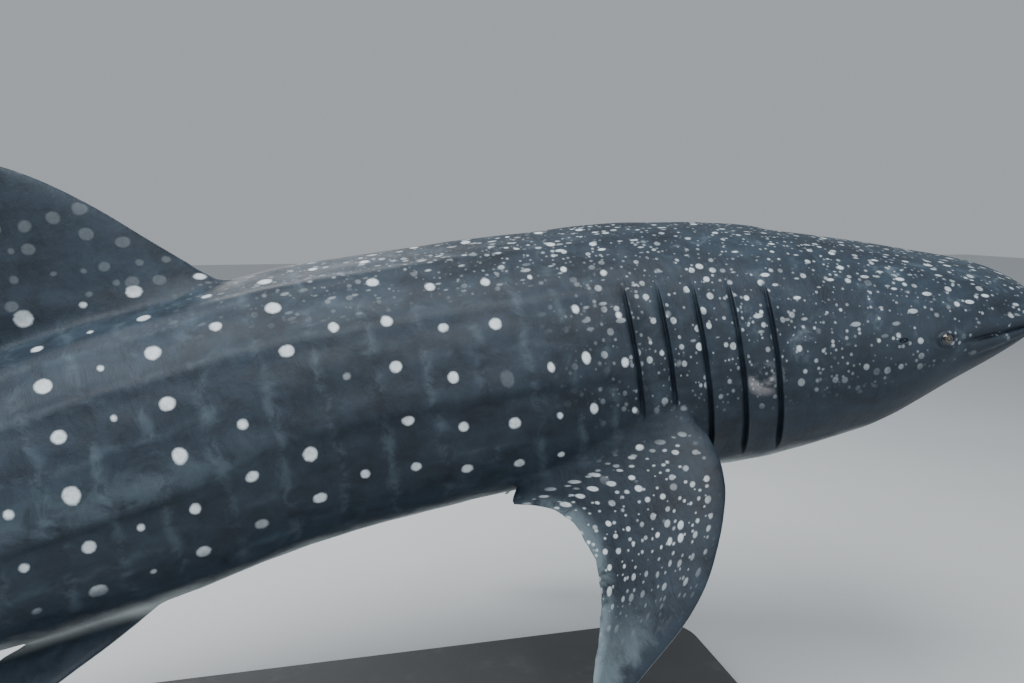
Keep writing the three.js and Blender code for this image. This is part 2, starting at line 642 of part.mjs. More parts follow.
add("stand_rod_front", geometryOf(rodAt(FRONT_ROD)), STEEL);
add("stand_rod_rear", geometryOf(rodAt(REAR_ROD)), STEEL);
add("stand_base", baseGeometry(), BASE);

export default whaleShark;
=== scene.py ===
"""A life-size whale shark, turning gently to its right, on a plain display stand.

Metres throughout, +Z up, +X toward the snout, +Y to the animal's left, as in the frame.
The body is worked out straight first, in body coordinates:
    s     distance behind the snout, f the same as a share of the length
    turn  degrees round the section: 0 right side, 90 back, 180 left side, -90 belly
    y, z  distance to the left and height above the axis
and placed() bends it along its turn, tips the nose up and lifts it onto the stand.
"""

import math

import bmesh
import bpy
import numpy as np
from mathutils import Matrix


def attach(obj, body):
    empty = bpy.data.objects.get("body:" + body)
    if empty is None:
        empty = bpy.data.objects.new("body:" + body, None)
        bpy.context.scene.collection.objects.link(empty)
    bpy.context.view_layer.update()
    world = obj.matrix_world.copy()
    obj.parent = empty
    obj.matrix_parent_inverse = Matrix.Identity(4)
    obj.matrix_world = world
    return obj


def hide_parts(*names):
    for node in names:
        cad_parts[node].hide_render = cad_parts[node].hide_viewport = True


bl_info = {
    "name": "Whale shark",
    "version": (1, 0, 0),
    "blender": (4, 5, 0),
    "location": "3D View > Sidebar > Whale shark",
    "description": "Builds a life-size whale shark on a display stand",
    "category": "Object",
}

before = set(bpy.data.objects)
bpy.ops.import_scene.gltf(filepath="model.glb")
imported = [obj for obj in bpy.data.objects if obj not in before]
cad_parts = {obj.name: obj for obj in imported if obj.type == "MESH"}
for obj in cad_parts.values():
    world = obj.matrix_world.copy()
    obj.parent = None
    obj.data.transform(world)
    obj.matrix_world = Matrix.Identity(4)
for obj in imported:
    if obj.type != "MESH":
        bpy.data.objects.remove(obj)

FLESH = [
    "head", "lower_jaw", "gills", "trunk_front", "trunk_middle", "trunk_rear", "tail_stalk",
    "tail_lobe_upper", "tail_lobe_lower", "pectoral_right", "pectoral_left", "pelvic_right",
    "pelvic_left", "dorsal_first", "dorsal_second", "anal_fin",
]

# Overall size and pose, as in the frame
LENGTH = 7.0
SNOUT = 0.009
PIVOT = 0.3
TURN_RATE = 1.6
TURN_GROWTH = 0.6
TURN_END = 0.25
TURN_FADE = 0.16
NOSE_UP = math.radians(9.2)
TAIL_LIFT = 0.25
TAIL_LIFT_FROM = 0.55
AXIS = np.array([0.330, 0.120, 1.420])

# Body outline at shares of the length behind the snout
STATION = [0.009, 0.012, 0.017, 0.026, 0.052, 0.1, 0.16, 0.22, 0.3, 0.38, 0.46, 0.54, 0.62,
           0.7, 0.76, 0.8, 0.84, 0.868]
BACK = [0.014, 0.056, 0.086, 0.121, 0.186, 0.292, 0.398, 0.455, 0.482, 0.492, 0.452, 0.360, 0.268,
        0.185, 0.135, 0.118, 0.088, 0.040]
BELLY = [-0.024, -0.074, -0.108, -0.158, -0.256, -0.410, -0.470, -0.452, -0.418, -0.425, -0.470,
         -0.430, -0.330, -0.204, -0.135, -0.118, -0.088, -0.040]
HALF_WIDTH = [0.250, 0.322, 0.356, 0.388, 0.444, 0.496, 0.522, 0.530, 0.515, 0.470, 0.415, 0.345,
              0.265, 0.180, 0.130, 0.100, 0.052, 0.014]
AXIS_SHARE = 0.3
AXIS_DROP = 0.030
ROUNDNESS = 0.95
BODY_END = 0.868

# Fins: half the thickness of the rear edge, and how far off the body the root swells
FIN_EDGE = 0.0015
FILLET_REACH = 0.030

# Stiff fins: the share of the length they turn with, and the front of the root
PECTORAL_SHARE = 0.2285
PECTORAL_ROOT = np.array([1.402, -0.518, -0.148])
PELVIC_SHARE = 0.478
PELVIC_ROOT = np.array([3.258, -0.178, -0.432])

# Mouth, eye, spiracle, nostril and gills. Each fold of the mouth slit is a depth in, and how
# wide and high it is beside the lips. The skin is finer round the eye between two shares of the
# length and two angles.
MOUTH_CORNER = 0.056
FOLDS = ((0.030, 0.90, 0.22), (0.018, 0.94, 0.30), (0.006, 0.98, 0.60))
EYE_STATION = 0.066
EYE_ANGLE = 5.0
EYE_RADIUS = 0.026
EYE_SINK = 0.017
BROW = 0.014
SPIRACLE_STATION = 0.087
SPIRACLE_ANGLE = 8.0
NOSTRIL_STATION = 0.0165
NOSTRIL_ANGLE = 33.0
GILLS = [0.148, 0.166, 0.184, 0.202, 0.219]
TAIL_FROM = 0.63
EYE_FINE = (0.053, 0.094, -6, 17)
GILL_FROM = 0.125
GILL_TO = 0.24
SLIT_BEHIND = 0.006
SLIT_WIDTH = 0.010

# Camera, fitted to the photograph's frame of 1024 x 683
CAMERA_FROM_AXIS = np.array([-0.464, -2.833, 0.597])
CAMERA_YAW = math.radians(13.2)
CAMERA_PITCH = math.radians(-9.2)
FOCAL_PIXELS = 800.0
FRAME_WIDTH = 1024.0

# Columns of large spots, as on the right flank: how far behind the snout, how far above
# the side line the first spot sits, and how large the spots are beside the largest
SPOT_COLUMNS = [1.40, 1.58, 1.72, 1.84, 2.00, 2.18, 2.355, 2.53, 2.69, 2.88, 3.08, 3.23, 3.385]
SPOT_STARTS = [0.07, 0.09, 0.12, 0.11, 0.11, 0.13, 0.185, 0.20, 0.15, 0.125, 0.09, 0.08, 0.07]
SPOT_SIZES = [0.45, 0.55, 0.80, 0.50, 0.85, 0.72, 0.72, 0.60, 0.95, 0.70, 0.95, 0.42, 1.0]
SPOT_ROW = 0.160
SPOT_PITCH = 0.170
COLUMNS_AHEAD = 9
COLUMNS_BEHIND = 23

# Tones as display values
# Pale band above the lowest ridge: partly the ridge's own stripe, partly painted highlight
RIDGE_STRIPE_AND_HIGHLIGHT_TONE = (92, 108, 116)
BAR_TONE = (98, 114, 124)
WORN_TONE = (118, 134, 142)
BELLY_DULL = (146, 156, 160)
BELLY_PALE = (194, 200, 199)
SCUFF_TONE = (156, 152, 154)
# Painted shade inside the gill slits
SLIT_PAINTED_SHADE = (12, 17, 22)
PUPIL_TONE = (8, 9, 11)
IRIS_TONE = (84, 76, 62)
RIM_TONE = (34, 40, 46)
STEEL_TONES = ((150, 152, 154), (196, 198, 200))
PAINT_TONES = ((52, 55, 58), (78, 81, 84))
PAINT_WORN = (104, 107, 110)
FLOOR_TONES = ((198, 202, 205), (208, 211, 213))
SKY_TONE = (214, 220, 225)

# Stage: lights as name, place and watts, all of one width and aimed at one point
LIGHTS = (
    ("key", (-0.8, -2.2, 7.0), 600.0),
    ("fill", (3.5, -7.0, 3.0), 150.0),
    ("back", (-2.0, 6.5, 5.0), 260.0),
)
LIGHT_WIDTH = 5.0
LIGHT_AIM = (0.0, 0.0, 1.3)
SKY_STRENGTH = 0.58
FLOOR_REACH = 30.0
FLOOR_LINES = 13
FLOOR_DROP = 0.001


def smooth(a, b, x):
    """Rises from 0 at a to 1 at b along an S; falls where b is below a."""
    t = np.clip((x - a) / (b - a), 0.0, 1.0)
    return t * t * (3.0 - 2.0 * t)


def bump(x, width):
    """A bell of height 1, exp of minus the square of x over width."""
    return np.exp(-((x / width) ** 2))


def curve(xs, ys):
    """A piecewise cubic through the points that never overshoots them."""
    xs, ys = np.asarray(xs, float), np.asarray(ys, float)
    h = np.diff(xs)
    slope = np.diff(ys) / h
    a, b = slope[:-1], slope[1:]
    wa, wb = 2 * h[1:] + h[:-1], h[1:] + 2 * h[:-1]
    safe = a * b > 0
    inner = np.where(safe, (wa + wb) / (wa / np.where(safe, a, 1) + wb / np.where(safe, b, 1)), 0)
    tangent = np.concatenate([slope[:1], inner, slope[-1:]])

    def at(x):
        x = np.clip(x, xs[0], xs[-1])
        i = np.clip(np.searchsorted(xs, x, side="right") - 1, 0, len(h) - 1)
        t = (x - xs[i]) / h[i]
        left = ys[i] * (1 + 2 * t) * (1 - t) ** 2 + h[i] * tangent[i] * t * (1 - t) ** 2
        right = ys[i + 1] * t * t * (3 - 2 * t) + h[i] * tangent[i + 1] * t * t * (t - 1)
        return left + right

    return at


back_at = curve(STATION, BACK)
belly_at = curve(STATION, BELLY)
width_at = curve(STATION, HALF_WIDTH)


def axis_at(f):
    """Height of the axis: a share of back and belly added, less a drop that fades at the tail."""
    return (back_at(f) + belly_at(f)) * AXIS_SHARE - AXIS_DROP * smooth(0.9, 0.6, f)


def heading_at(f):
    """Heading of the axis: rate times g plus growth times g squared, fading out past the end."""
    g = np.asarray(f, float) - PIVOT
    start = TURN_RATE * TURN_END + TURN_GROWTH * TURN_END**2
    rate = TURN_RATE + 2 * TURN_GROWTH * TURN_END
    past = np.maximum(g - TURN_END, 0)
    late = start + rate * TURN_FADE * (1 - np.exp(-past / TURN_FADE))
    return np.where(g <= TURN_END, TURN_RATE * g + TURN_GROWTH * g * g, late)


PATH_F = np.linspace(PIVOT - 0.4, PIVOT + 0.8, 4801)
PATH_MID = heading_at((PATH_F[1:] + PATH_F[:-1]) / 2)
PATH_STEP = (PATH_F[1] - PATH_F[0]) * LENGTH
PATH_X = -np.concatenate([[0], np.cumsum(np.cos(PATH_MID))]) * PATH_STEP
PATH_Y = -np.concatenate([[0], np.cumsum(np.sin(PATH_MID))]) * PATH_STEP
PATH_X -= np.interp(PIVOT, PATH_F, PATH_X)
PATH_Y -= np.interp(PIVOT, PATH_F, PATH_Y)


def placed(p, share=None):
    """Body coordinates (..., 3) to the pose: along the turned axis, across it, then nose up.
    A stiff fin is all turned with the body at one share of the length."""
    s, y, z = np.moveaxis(np.asarray(p, float), -1, 0)
    f = s / LENGTH if share is None else np.full(s.shape, share)
    a = heading_at(f)
    behind = s - f * LENGTH
    x = np.interp(f, PATH_F, PATH_X) - behind * np.cos(a) - y * np.sin(a)
    across = np.interp(f, PATH_F, PATH_Y) - behind * np.sin(a) + y * np.cos(a)
    up = z + TAIL_LIFT * np.maximum(0, f - TAIL_LIFT_FROM) ** 2 * LENGTH
    c, n = math.cos(NOSE_UP), math.sin(NOSE_UP)
    return np.stack([x * c - up * n, across, x * n + up * c], -1) + AXIS


def unplaced(p, share=None):
    """The pose back to body coordinates: f is found where the point lies abreast of the axis."""
    x, across, z = np.moveaxis(np.asarray(p, float) - AXIS, -1, 0)
    c, n = math.cos(NOSE_UP), math.sin(NOSE_UP)
    x, up = x * c + z * n, z * c - x * n
    low = np.full(x.shape, -0.03 if share is None else share)
    high = np.full(x.shape, 1.06 if share is None else share)
    for _ in range(26 if share is None else 0):
        f = (low + high) / 2
        a = heading_at(f)
        ahead = (x - np.interp(f, PATH_F, PATH_X)) * np.cos(a)
        ahead += (across - np.interp(f, PATH_F, PATH_Y)) * np.sin(a)
        high = np.where(ahead > 0, f, high)
        low = np.where(ahead > 0, low, f)
    f = (low + high) / 2
    a = heading_at(f)
    dx, dy = x - np.interp(f, PATH_F, PATH_X), across - np.interp(f, PATH_F, PATH_Y)
    y = dy * np.cos(a) - dx * np.sin(a)
    behind = -dx * np.cos(a) - dy * np.sin(a)
    z = up - TAIL_LIFT * np.maximum(0, f - TAIL_LIFT_FROM) ** 2 * LENGTH
    return np.stack([f * LENGTH + behind, y, z], -1)


low_ridge_angle = curve([0.2, 0.38, 0.46, 0.55, 1], [7, 6, -0.5, -2.5, 0])
low_ridge = curve([0.2, 0.26, 0.45, 0.62, 0.7, 0.77, 0.83, 0.868],
                  [0, 0.009, 0.015, 0.020, 0.034, 0.044, 0.024, 0.004])
side_ridge = curve([0.19, 0.26, 0.45, 0.62, 0.7, 0.76], [0, 0.008, 0.011, 0.009, 0.005, 0])
back_ridge = curve([0.1, 0.2, 0.38, 0.41], [0, 0.008, 0.012, 0])


def gill_profile(d):
    """Across one gill slit: the flap lifts toward its edge, and the skin behind starts sunk."""
    rise, step, lift, drop = 0.044, 0.0022, 0.009, 0.016
    flap = lift * np.clip((d + rise) / (rise - step), 0, 1) ** 1.5
    behind = -drop * np.clip((rise - d) / (rise - step), 0, 1) ** 4
    t = np.clip((d + step) / (2 * step), 0, 1)
    return flap * (1 - t) + behind * t


def from_spot(f, a, station, angle, stretch=1.0):
    """Distance over the skin from a spot on the side of the head, in stretched metres."""
    return np.hypot((f - station) * LENGTH / stretch, np.radians(a - angle) * width_at(f))


def ridges(f, a):
    """Two side ridges as bells, the lowest one steep below, and a bell along the back."""
    high_angle, high_width, middle_angle, middle_width = 65, 3.6, 38, 3.4
    above, below, full = 6.5, 2.8, 1.15
    off = a - low_ridge_angle(f)
    h = side_ridge(f) * (bump(a - high_angle, high_width) + bump(a - middle_angle, middle_width))
    h = h + full * low_ridge(f) * bump(off, np.where(off > 0, above, below))
    return h + back_ridge(f) * bump(a - 90, 5)


def lips(f, a):
    """Rolled lips with a groove outside them, a sunk line between, and a fold at each corner."""
    roll, roll_angle, line, groove, groove_angle = 0.007, 7.5, 0.016, 0.004, 15
    fold, fold_length, fold_fall = 0.005, 0.030, 160
    mouth = smooth(MOUTH_CORNER + 0.006, MOUTH_CORNER - 0.012, f)
    h = mouth * (roll * bump(np.abs(a) - roll_angle, 5) - line * bump(a, 1.7))
    h -= mouth * groove * bump(np.abs(a) - groove_angle, 2.0)
    corner = bump((f - MOUTH_CORNER - 0.002) * LENGTH, fold_length)
    return h - fold * corner * bump(a + 7 + (f - MOUTH_CORNER) * LENGTH * fold_fall, 3.0)


def eye_lids(f, a):
    """A brow as a wide bell, a lid ring round the sunk socket, and a crease behind."""
    lid, lid_at, lid_width, sunk = 0.0045, 0.0265, 0.006, 0.020
    crease, crease_at, crease_width = 0.0022, 0.040, 0.005
    behind = (f - EYE_STATION) * LENGTH
    away = from_spot(f, a, EYE_STATION, EYE_ANGLE)
    h = BROW * bump(behind, 0.055) * bump(a - EYE_ANGLE, 12)
    h += lid * bump(away - lid_at, lid_width) - sunk * smooth(0.0225, 0.017, away)
    return h - crease * bump(away - crease_at, crease_width) * smooth(-0.02, 0.02, behind)


def openings(f, a):
    """Spiracle and nostril: each a sunk oval in a raised rim."""
    breath = from_spot(f, a, SPIRACLE_STATION, SPIRACLE_ANGLE, 1.5)
    h = 0.003 * bump(breath - 0.014, 0.005) - 0.012 * smooth(0.0115, 0.006, breath)
    half_long, half_high = 0.013, 0.030
    nose = from_spot(f, a, NOSTRIL_STATION, NOSTRIL_ANGLE, half_long / half_high) / half_high
    return h + 0.004 * bump(nose - 1.25, 0.3) - 0.010 * smooth(1.05, 0.5, nose)


def gill_flaps(s, a):
    """Five flaps on each side, each with a faint wave along it, fading out above and below."""
    wave, wave_turns = 0.0012, 1.7
    h = 0.0
    for k, g in enumerate(GILLS):
        ripple = wave * np.sin(a * wave_turns + 2.0 * k) * bump(s - g * LENGTH + 0.02, 0.03)
        h = h + gill_profile(s - g * LENGTH) + ripple
    return h * smooth(-48, -32, a) * smooth(42, 26, a)


def soft_folds(s, a):
    """Two products of long sines, a coarse and a fine one: the give of living skin."""
    coarse = 0.0022 * np.sin(s * 9.1 + a * 0.11) * np.sin(a * 0.19 + s * 3.3 + 1.0)
    return coarse + 0.0012 * np.sin(s * 23.0 - a * 0.23 + 0.7) * np.cos(a * 0.31 - s * 7.0)


def side_angle(turn):
    """Degrees up from the side line, alike on both sides."""
    return np.degrees(np.arcsin(np.clip(np.sin(np.radians(turn)), -1, 1)))


def relief_at(f, turn):
    """Height of the skin above the plain section: the sum of all its features."""
    a, s = side_angle(turn), f * LENGTH
    h = ridges(f, a) + lips(f, a) + eye_lids(f, a) + openings(f, a) + gill_flaps(s, a)
    return h + soft_folds(s, a) * smooth(0.05, 0.14, f) * smooth(0.84, 0.76, f)


def gill_bow(f, turn):
    """How far the gill slits bow back along the body at their middle."""
    a = side_angle(turn)
    inside = smooth(GILL_FROM, GILL_FROM + 0.014, f) * smooth(GILL_TO, GILL_TO - 0.014, f)
    return inside * 0.034 * (np.cos(np.radians(a + 6)) - 0.6)


def section_at(f, turn):
    """The plain section: a slightly boxed ellipse as wide and high as the outline. Gives its
    points and the ways out of it, across and up, times the unit lift."""
    c, n = np.cos(np.radians(turn)), np.sin(np.radians(turn))
    w, mid = width_at(f), axis_at(f)
    h = np.where(n > 0, back_at(f) - mid, mid - belly_at(f))
    y = -w * np.sign(c) * np.abs(c) ** ROUNDNESS
    z = mid + h * np.sign(n) * np.abs(n) ** ROUNDNESS
    out = np.stack([-c / w, n / h])
    return y, z, out / np.hypot(*out)


def skin_at(f, turn):
    """The body's surface: the plain section lifted by the relief, its slits bowed back."""
    y, z, out = section_at(f, turn)
    lift = relief_at(f, turn) * smooth(SNOUT, SNOUT + 0.004, f)
    return np.stack([f * LENGTH + gill_bow(f, turn), y + lift * out[0], z + lift * out[1]], -1)


def brow_at(f, turn):
    """The skin beside the eye without its socket: the plain section lifted by the brow alone."""
    y, z, out = section_at(f, turn)
    return np.stack([f * LENGTH, y + BROW * out[0], z + BROW * out[1]], -1)


def section_place(p):
    """For points in body coordinates: turn round the section and distance out of the body."""
    s, y, z = np.moveaxis(p, -1, 0)
    f = np.clip(s / LENGTH, SNOUT, BODY_END)
    w, mid = width_at(f), axis_at(f)
    h = np.where(z > mid, back_at(f) - mid, mid - belly_at(f))
    turn = np.degrees(np.arctan2((z - mid) / h, -y / w))
    out = np.hypot(y, z - mid) * (1 - 1 / np.maximum(np.hypot(y / w, (z - mid) / h), 1e-6))
    return f, np.where(turn < -90, turn + 360, turn), out


def grid_mesh(name, rings):
    """A closed tube from rings (n, m, 3): quads between rings, fans to the middle of each end."""
    n, m = rings.shape[:2]
    i, j = np.meshgrid(np.arange(n - 1), np.arange(m), indexing="ij")
    a, b = i * m + j, i * m + (j + 1) % m
    quads = np.stack([a, b, b + m, a + m], -1).reshape(-1, 4)
    k, nxt, last = np.arange(m), (np.arange(m) + 1) % m, (n - 1) * m
    verts = np.vstack([rings.reshape(-1, 3), rings[0].mean(0), rings[-1].mean(0)])
    faces = quads.tolist()
    faces += np.stack([np.full(m, n * m), nxt, k], -1).tolist()
    faces += np.stack([np.full(m, n * m + 1), last + k, last + nxt], -1).tolist()
    mesh = bpy.data.meshes.new(name)
    mesh.from_pydata(verts.tolist(), [], faces)
    mesh.update()
    return mesh


def array_of(items, key, width=1, kind=float):
    """One property of every item as an array, in rows where it holds several numbers."""
    values = np.empty(len(items) * width, kind)
    items.foreach_get(key, values)
    return values.reshape(-1, width) if width > 1 else values


def store(mesh, name, rows):
    """Keeps rows of three numbers on the vertices under a name."""
    made = mesh.attributes.new(name, "FLOAT_VECTOR", "POINT")
    made.data.foreach_set("vector", rows.astype(np.float32).ravel())


def add_object(name, mesh):
    """A smooth-shaded object at the origin that holds the mesh."""
    piece = bpy.data.objects.new(name, mesh)
    bpy.context.scene.collection.objects.link(piece)
    mesh.polygons.foreach_set("use_smooth", np.ones(len(mesh.polygons), bool))
    return piece


def face_outward(mesh):
    """Turns a closed mesh's faces outward."""
    work = bmesh.new()
    work.from_mesh(mesh)
    bmesh.ops.recalc_face_normals(work, faces=work.faces)
    work.to_mesh(mesh)
    work.free()


def body_stations():
    """Shares of the length that carry a ring: closest at the lips, the head and the gill slits."""
    lips = SNOUT + np.array([0, 0.0004, 0.001, 0.0018, 0.0028, 0.004, 0.0055])
    head = np.arange(SNOUT + 0.007, GILL_FROM, 0.0016)
    beside = np.array([-44, -34, -25, -17, -10, -5, -2.5, -1, 1, 2.5, 5, 9, 15, 22, 30, 38, 44])
    gills = (np.array(GILLS)[:, None] + beside / 1000 / LENGTH).ravel()
    fill = [GILL_FROM, 0.1283, 0.1316, 0.1349, 0.138, 0.1405, 0.2275, 0.2305, 0.2335, 0.237]
    trunk = np.arange(GILL_TO, TAIL_FROM, 0.0042)
    tail = np.concatenate([np.arange(TAIL_FROM, 0.86, 0.0040), [0.862, 0.866, BODY_END]])
    return np.unique(np.round(np.concatenate([lips, head, gills, fill, trunk, tail]), 6))


def body_mesh():
    """The body's skin: skin_at over stations and turns, finer by the eyes, and folded in at
    the front to line the mouth slit."""
    half = np.unique(np.concatenate([np.arange(-90, 91, 2.0), [-5, -3, -1, 1, 3, 5, 7]]))
    turns = np.concatenate([half, 180 - half[-2:0:-1]])
    ff, tt = np.meshgrid(body_stations(), turns, indexing="ij")
    front = skin_at(ff[:1], tt[:1])[0]
    mid = np.array([SNOUT * LENGTH, 0, axis_at(SNOUT)])
    folds = [(front - mid) * [1, wide, high] + mid + [depth, 0, 0] for depth, wide, high in FOLDS]
    mesh = grid_mesh("skin", np.concatenate([np.array(folds), skin_at(ff, tt)]))
    skip = np.zeros(len(folds) * len(turns))
    for name, grid in (("f", ff), ("turn", tt)):
        values = np.concatenate([skip, grid.ravel(), [0, 0]])
        mesh.attributes.new(name, "FLOAT", "POINT").data.foreach_set("value", values)
    refine_by_eyes(mesh)
    return mesh


def refine_by_eyes(mesh):
    """Cuts the edges round both eyes in three, and sets the new points on the skin."""
    old = len(mesh.vertices)
    ends = array_of(mesh.edges, "vertices", 2, int)
    f, turn = [array_of(mesh.attributes[name].data, "value")[ends] for name in ("f", "turn")]
    mid_f, mid_turn = f.mean(1), turn.mean(1)
    up = np.where(mid_turn < 90, mid_turn, 180 - mid_turn)
    near = (f > 0).all(1) & (mid_f > EYE_FINE[0]) & (mid_f < EYE_FINE[1])
    near &= (up > EYE_FINE[2]) & (up < EYE_FINE[3])
    work = bmesh.new()
    work.from_mesh(mesh)
    work.edges.ensure_lookup_table()
    edges = [work.edges[k] for k in np.nonzero(near)[0]]
    bmesh.ops.subdivide_edges(work, edges=edges, cuts=2, use_grid_fill=True)
    work.to_mesh(mesh)
    work.free()
    points = array_of(mesh.vertices, "co", 3)
    f, turn = [array_of(mesh.attributes[name].data, "value")[old:] for name in ("f", "turn")]
    points[old:] = skin_at(f, turn)
    mesh.vertices.foreach_set("co", points.ravel())


def unit(v):
    """The vector over its length."""
    return np.asarray(v, float) / np.linalg.norm(v)


def fin_mesh(name, root, chord_way, out_way, outs, front, rear, thick, steps=22, mirror=False,
             fillet=0.016, ragged=0.002, share=None):
    """A fin: at each distance out from the root, a section from the front edge to the rear edge,
    rounded ahead and thin behind; where it nears the body it swells by a falling exponential."""
    chord_way, out_way, across = unit(chord_way), unit(out_way), unit(np.cross(chord_way, out_way))
    outs = np.asarray(outs, float)
    u = 0.5 - 0.5 * np.cos(np.pi * np.arange(steps + 1) / steps)
    shape = 2.969 * np.sqrt(u) - 1.26 * u - 3.516 * u**2 + 2.843 * u**3 - 1.036 * u**4
    shape = np.maximum(shape, 0)
    fr, re = front(outs), rear(outs)
    re = re + ragged * (np.sin(outs * 55) + 0.6 * np.sin(outs * 131 + 1)) * smooth(0.0, 0.12, outs)

    def span(x, o):
        return root + chord_way * x[..., None] + out_way * o[..., None]

    def nearness(points):
        return np.exp(-np.maximum(section_place(points)[2], 0) / FILLET_REACH)

    near = nearness(span(fr, outs))
    fr = fr - 0.8 * fillet * near
    x = fr[:, None] + (re - fr)[:, None] * u
    o = np.broadcast_to(outs[:, None], x.shape)
    mid = span(x, o)
    swell = fillet * nearness(mid) * np.minimum(1, 9 * shape)
    half = shape * (0.5 * thick(o)) + FIN_EDGE * np.minimum(1, 6 * u) + swell
    upper = mid + across * half[..., None]
    lower = mid - across * half[..., None]
    rings = np.concatenate([mid[:, :1], upper[:, 1:], lower[:, :0:-1]], 1)
    if mirror:
        rings = rings * [1, -1, 1]
    if share is not None:
        rings = unplaced(placed(rings, share))
    return grid_mesh(name, rings)


def pectoral_plan():
    """Ways along and out of the pectoral fin, and its front and rear edges at distances out."""
    fore = skin_at(np.array(0.195), np.array(-14.0))
    chord = unit(skin_at(np.array(0.262), np.array(-39.0)) - fore)
    droop = np.array([0, -math.cos(math.radians(45)), -math.sin(math.radians(45))])
    out = unit(droop - (droop @ chord) * chord)
    front = curve([-0.110, 0, 0.080, 0.160, 0.240, 0.340, 0.420, 0.495, 0.570, 0.670, 0.747, 0.785],
                  [0.014, 0, -0.022, -0.024, -0.010, 0.037, 0.090, 0.151, 0.239, 0.412, 0.549,
                   0.612])
    rear = curve([-0.105, 0.013, 0.038, 0.071, 0.120, 0.200, 0.330, 0.450, 0.550, 0.678, 0.786],
                 [0.515, 0.631, 0.646, 0.587, 0.512, 0.462, 0.439, 0.463, 0.508, 0.572, 0.633])
    return chord, out, front, rear


def pectoral(mirror):
    """A broad sickle, drooping, its front edge set higher than its rear."""
    chord, out, front, rear = pectoral_plan()
    thick = curve([-0.110, 0, 0.060, 0.160, 0.420, 0.680, 0.785],
                  [0.100, 0.092, 0.070, 0.056, 0.038, 0.016, 0.008])
    outs = np.concatenate([np.linspace(-0.110, 0.12, 20), np.linspace(0.135, 0.785, 40)])
    return fin_mesh("pectoral", PECTORAL_ROOT, chord, out, outs, front, rear, thick, mirror=mirror,
                    share=PECTORAL_SHARE)


def pectoral_place(straight):
    """For points in body coordinates: share of the way back across the pectoral fin, and distance
    out along it."""
    chord, out, front, rear = pectoral_plan()
    p = unplaced(placed(straight), PECTORAL_SHARE)
    p = np.stack([p[:, 0], -np.abs(p[:, 1]), p[:, 2]], -1) - PECTORAL_ROOT
    o = p @ out
    back = (p @ chord - front(o)) / (rear(o) - front(o))
    return back, o


def pelvic(mirror):
    """Small and swept back, spread out from the lower corner of the belly."""
    chord = skin_at(np.array(0.5), np.array(-66.0)) - skin_at(np.array(0.465), np.array(-66.0))
    out = [0, -math.cos(math.radians(20)), -math.sin(math.radians(20))]
    front = curve([-0.090, 0, 0.060, 0.110, 0.165, 0.215, 0.240],
                  [-0.040, 0, 0.075, 0.150, 0.245, 0.330, 0.375])
    rear = curve([-0.090, 0, 0.025, 0.060, 0.110, 0.165, 0.215, 0.240],
                 [0.240, 0.290, 0.420, 0.430, 0.425, 0.424, 0.424, 0.420])
    thick = curve([-0.090, 0, 0.060, 0.165, 0.240], [0.056, 0.046, 0.030, 0.018, 0.007])
    return fin_mesh("pelvic", PELVIC_ROOT, chord, out, np.linspace(-0.090, 0.240, 34), front, rear,
                    thick, steps=16, mirror=mirror, fillet=0.010, ragged=0.0012, share=PELVIC_SHARE)


def mid_fin(name, start, root_z, up, outs, front, rear, thick, **more):
    """A fin on the mid-line, spread on the upright plane through the axis."""
    return fin_mesh(name, np.array([start * LENGTH, 0, root_z]), [1, 0, 0], [0, 0, up], outs, front,
                    rear, thick, **more)


def first_dorsal():
    """Broad at the root and swept back to a rounded tip, with a free corner behind."""
    outs = [-0.170, -0.060, 0, 0.056, 0.175, 0.296, 0.390, 0.440, 0.470]
    front = curve(outs, [-0.060, -0.030, 0, 0.063, 0.189, 0.315, 0.432, 0.512, 0.575])
    rear = curve([-0.170, -0.060, 0, 0.040, 0.090, 0.160, 0.240, 0.320, 0.390, 0.440, 0.470],
                 [0.640, 0.690, 0.760, 0.880, 0.840, 0.770, 0.714, 0.690, 0.684, 0.680, 0.660])
    thick = curve([-0.170, 0, 0.060, 0.160, 0.390, 0.470],
                  [0.110, 0.096, 0.070, 0.054, 0.026, 0.010])
    rows = np.concatenate([np.linspace(-0.170, 0.1, 20), np.linspace(0.115, 0.470, 26)])
    return mid_fin("dorsal_one", 0.403, 0.487, 1, rows, front, rear, thick)


def small_fin(name, start, root_z, up):
    """The second dorsal and the anal fin share one outline."""
    front = curve([-0.070, 0, 0.060, 0.110, 0.160, 0.200, 0.222],
                  [-0.020, 0, 0.060, 0.112, 0.175, 0.240, 0.292])
    rear = curve([-0.070, -0.020, 0.010, 0.030, 0.060, 0.110, 0.160, 0.200, 0.222],
                 [0.215, 0.228, 0.250, 0.372, 0.352, 0.326, 0.318, 0.322, 0.328])
    thick = curve([-0.070, 0, 0.060, 0.222], [0.044, 0.036, 0.022, 0.007])
    return mid_fin(name, start, root_z, up, np.linspace(-0.070, 0.222, 30), front, rear, thick,
                   steps=16, fillet=0.008, ragged=0.001)


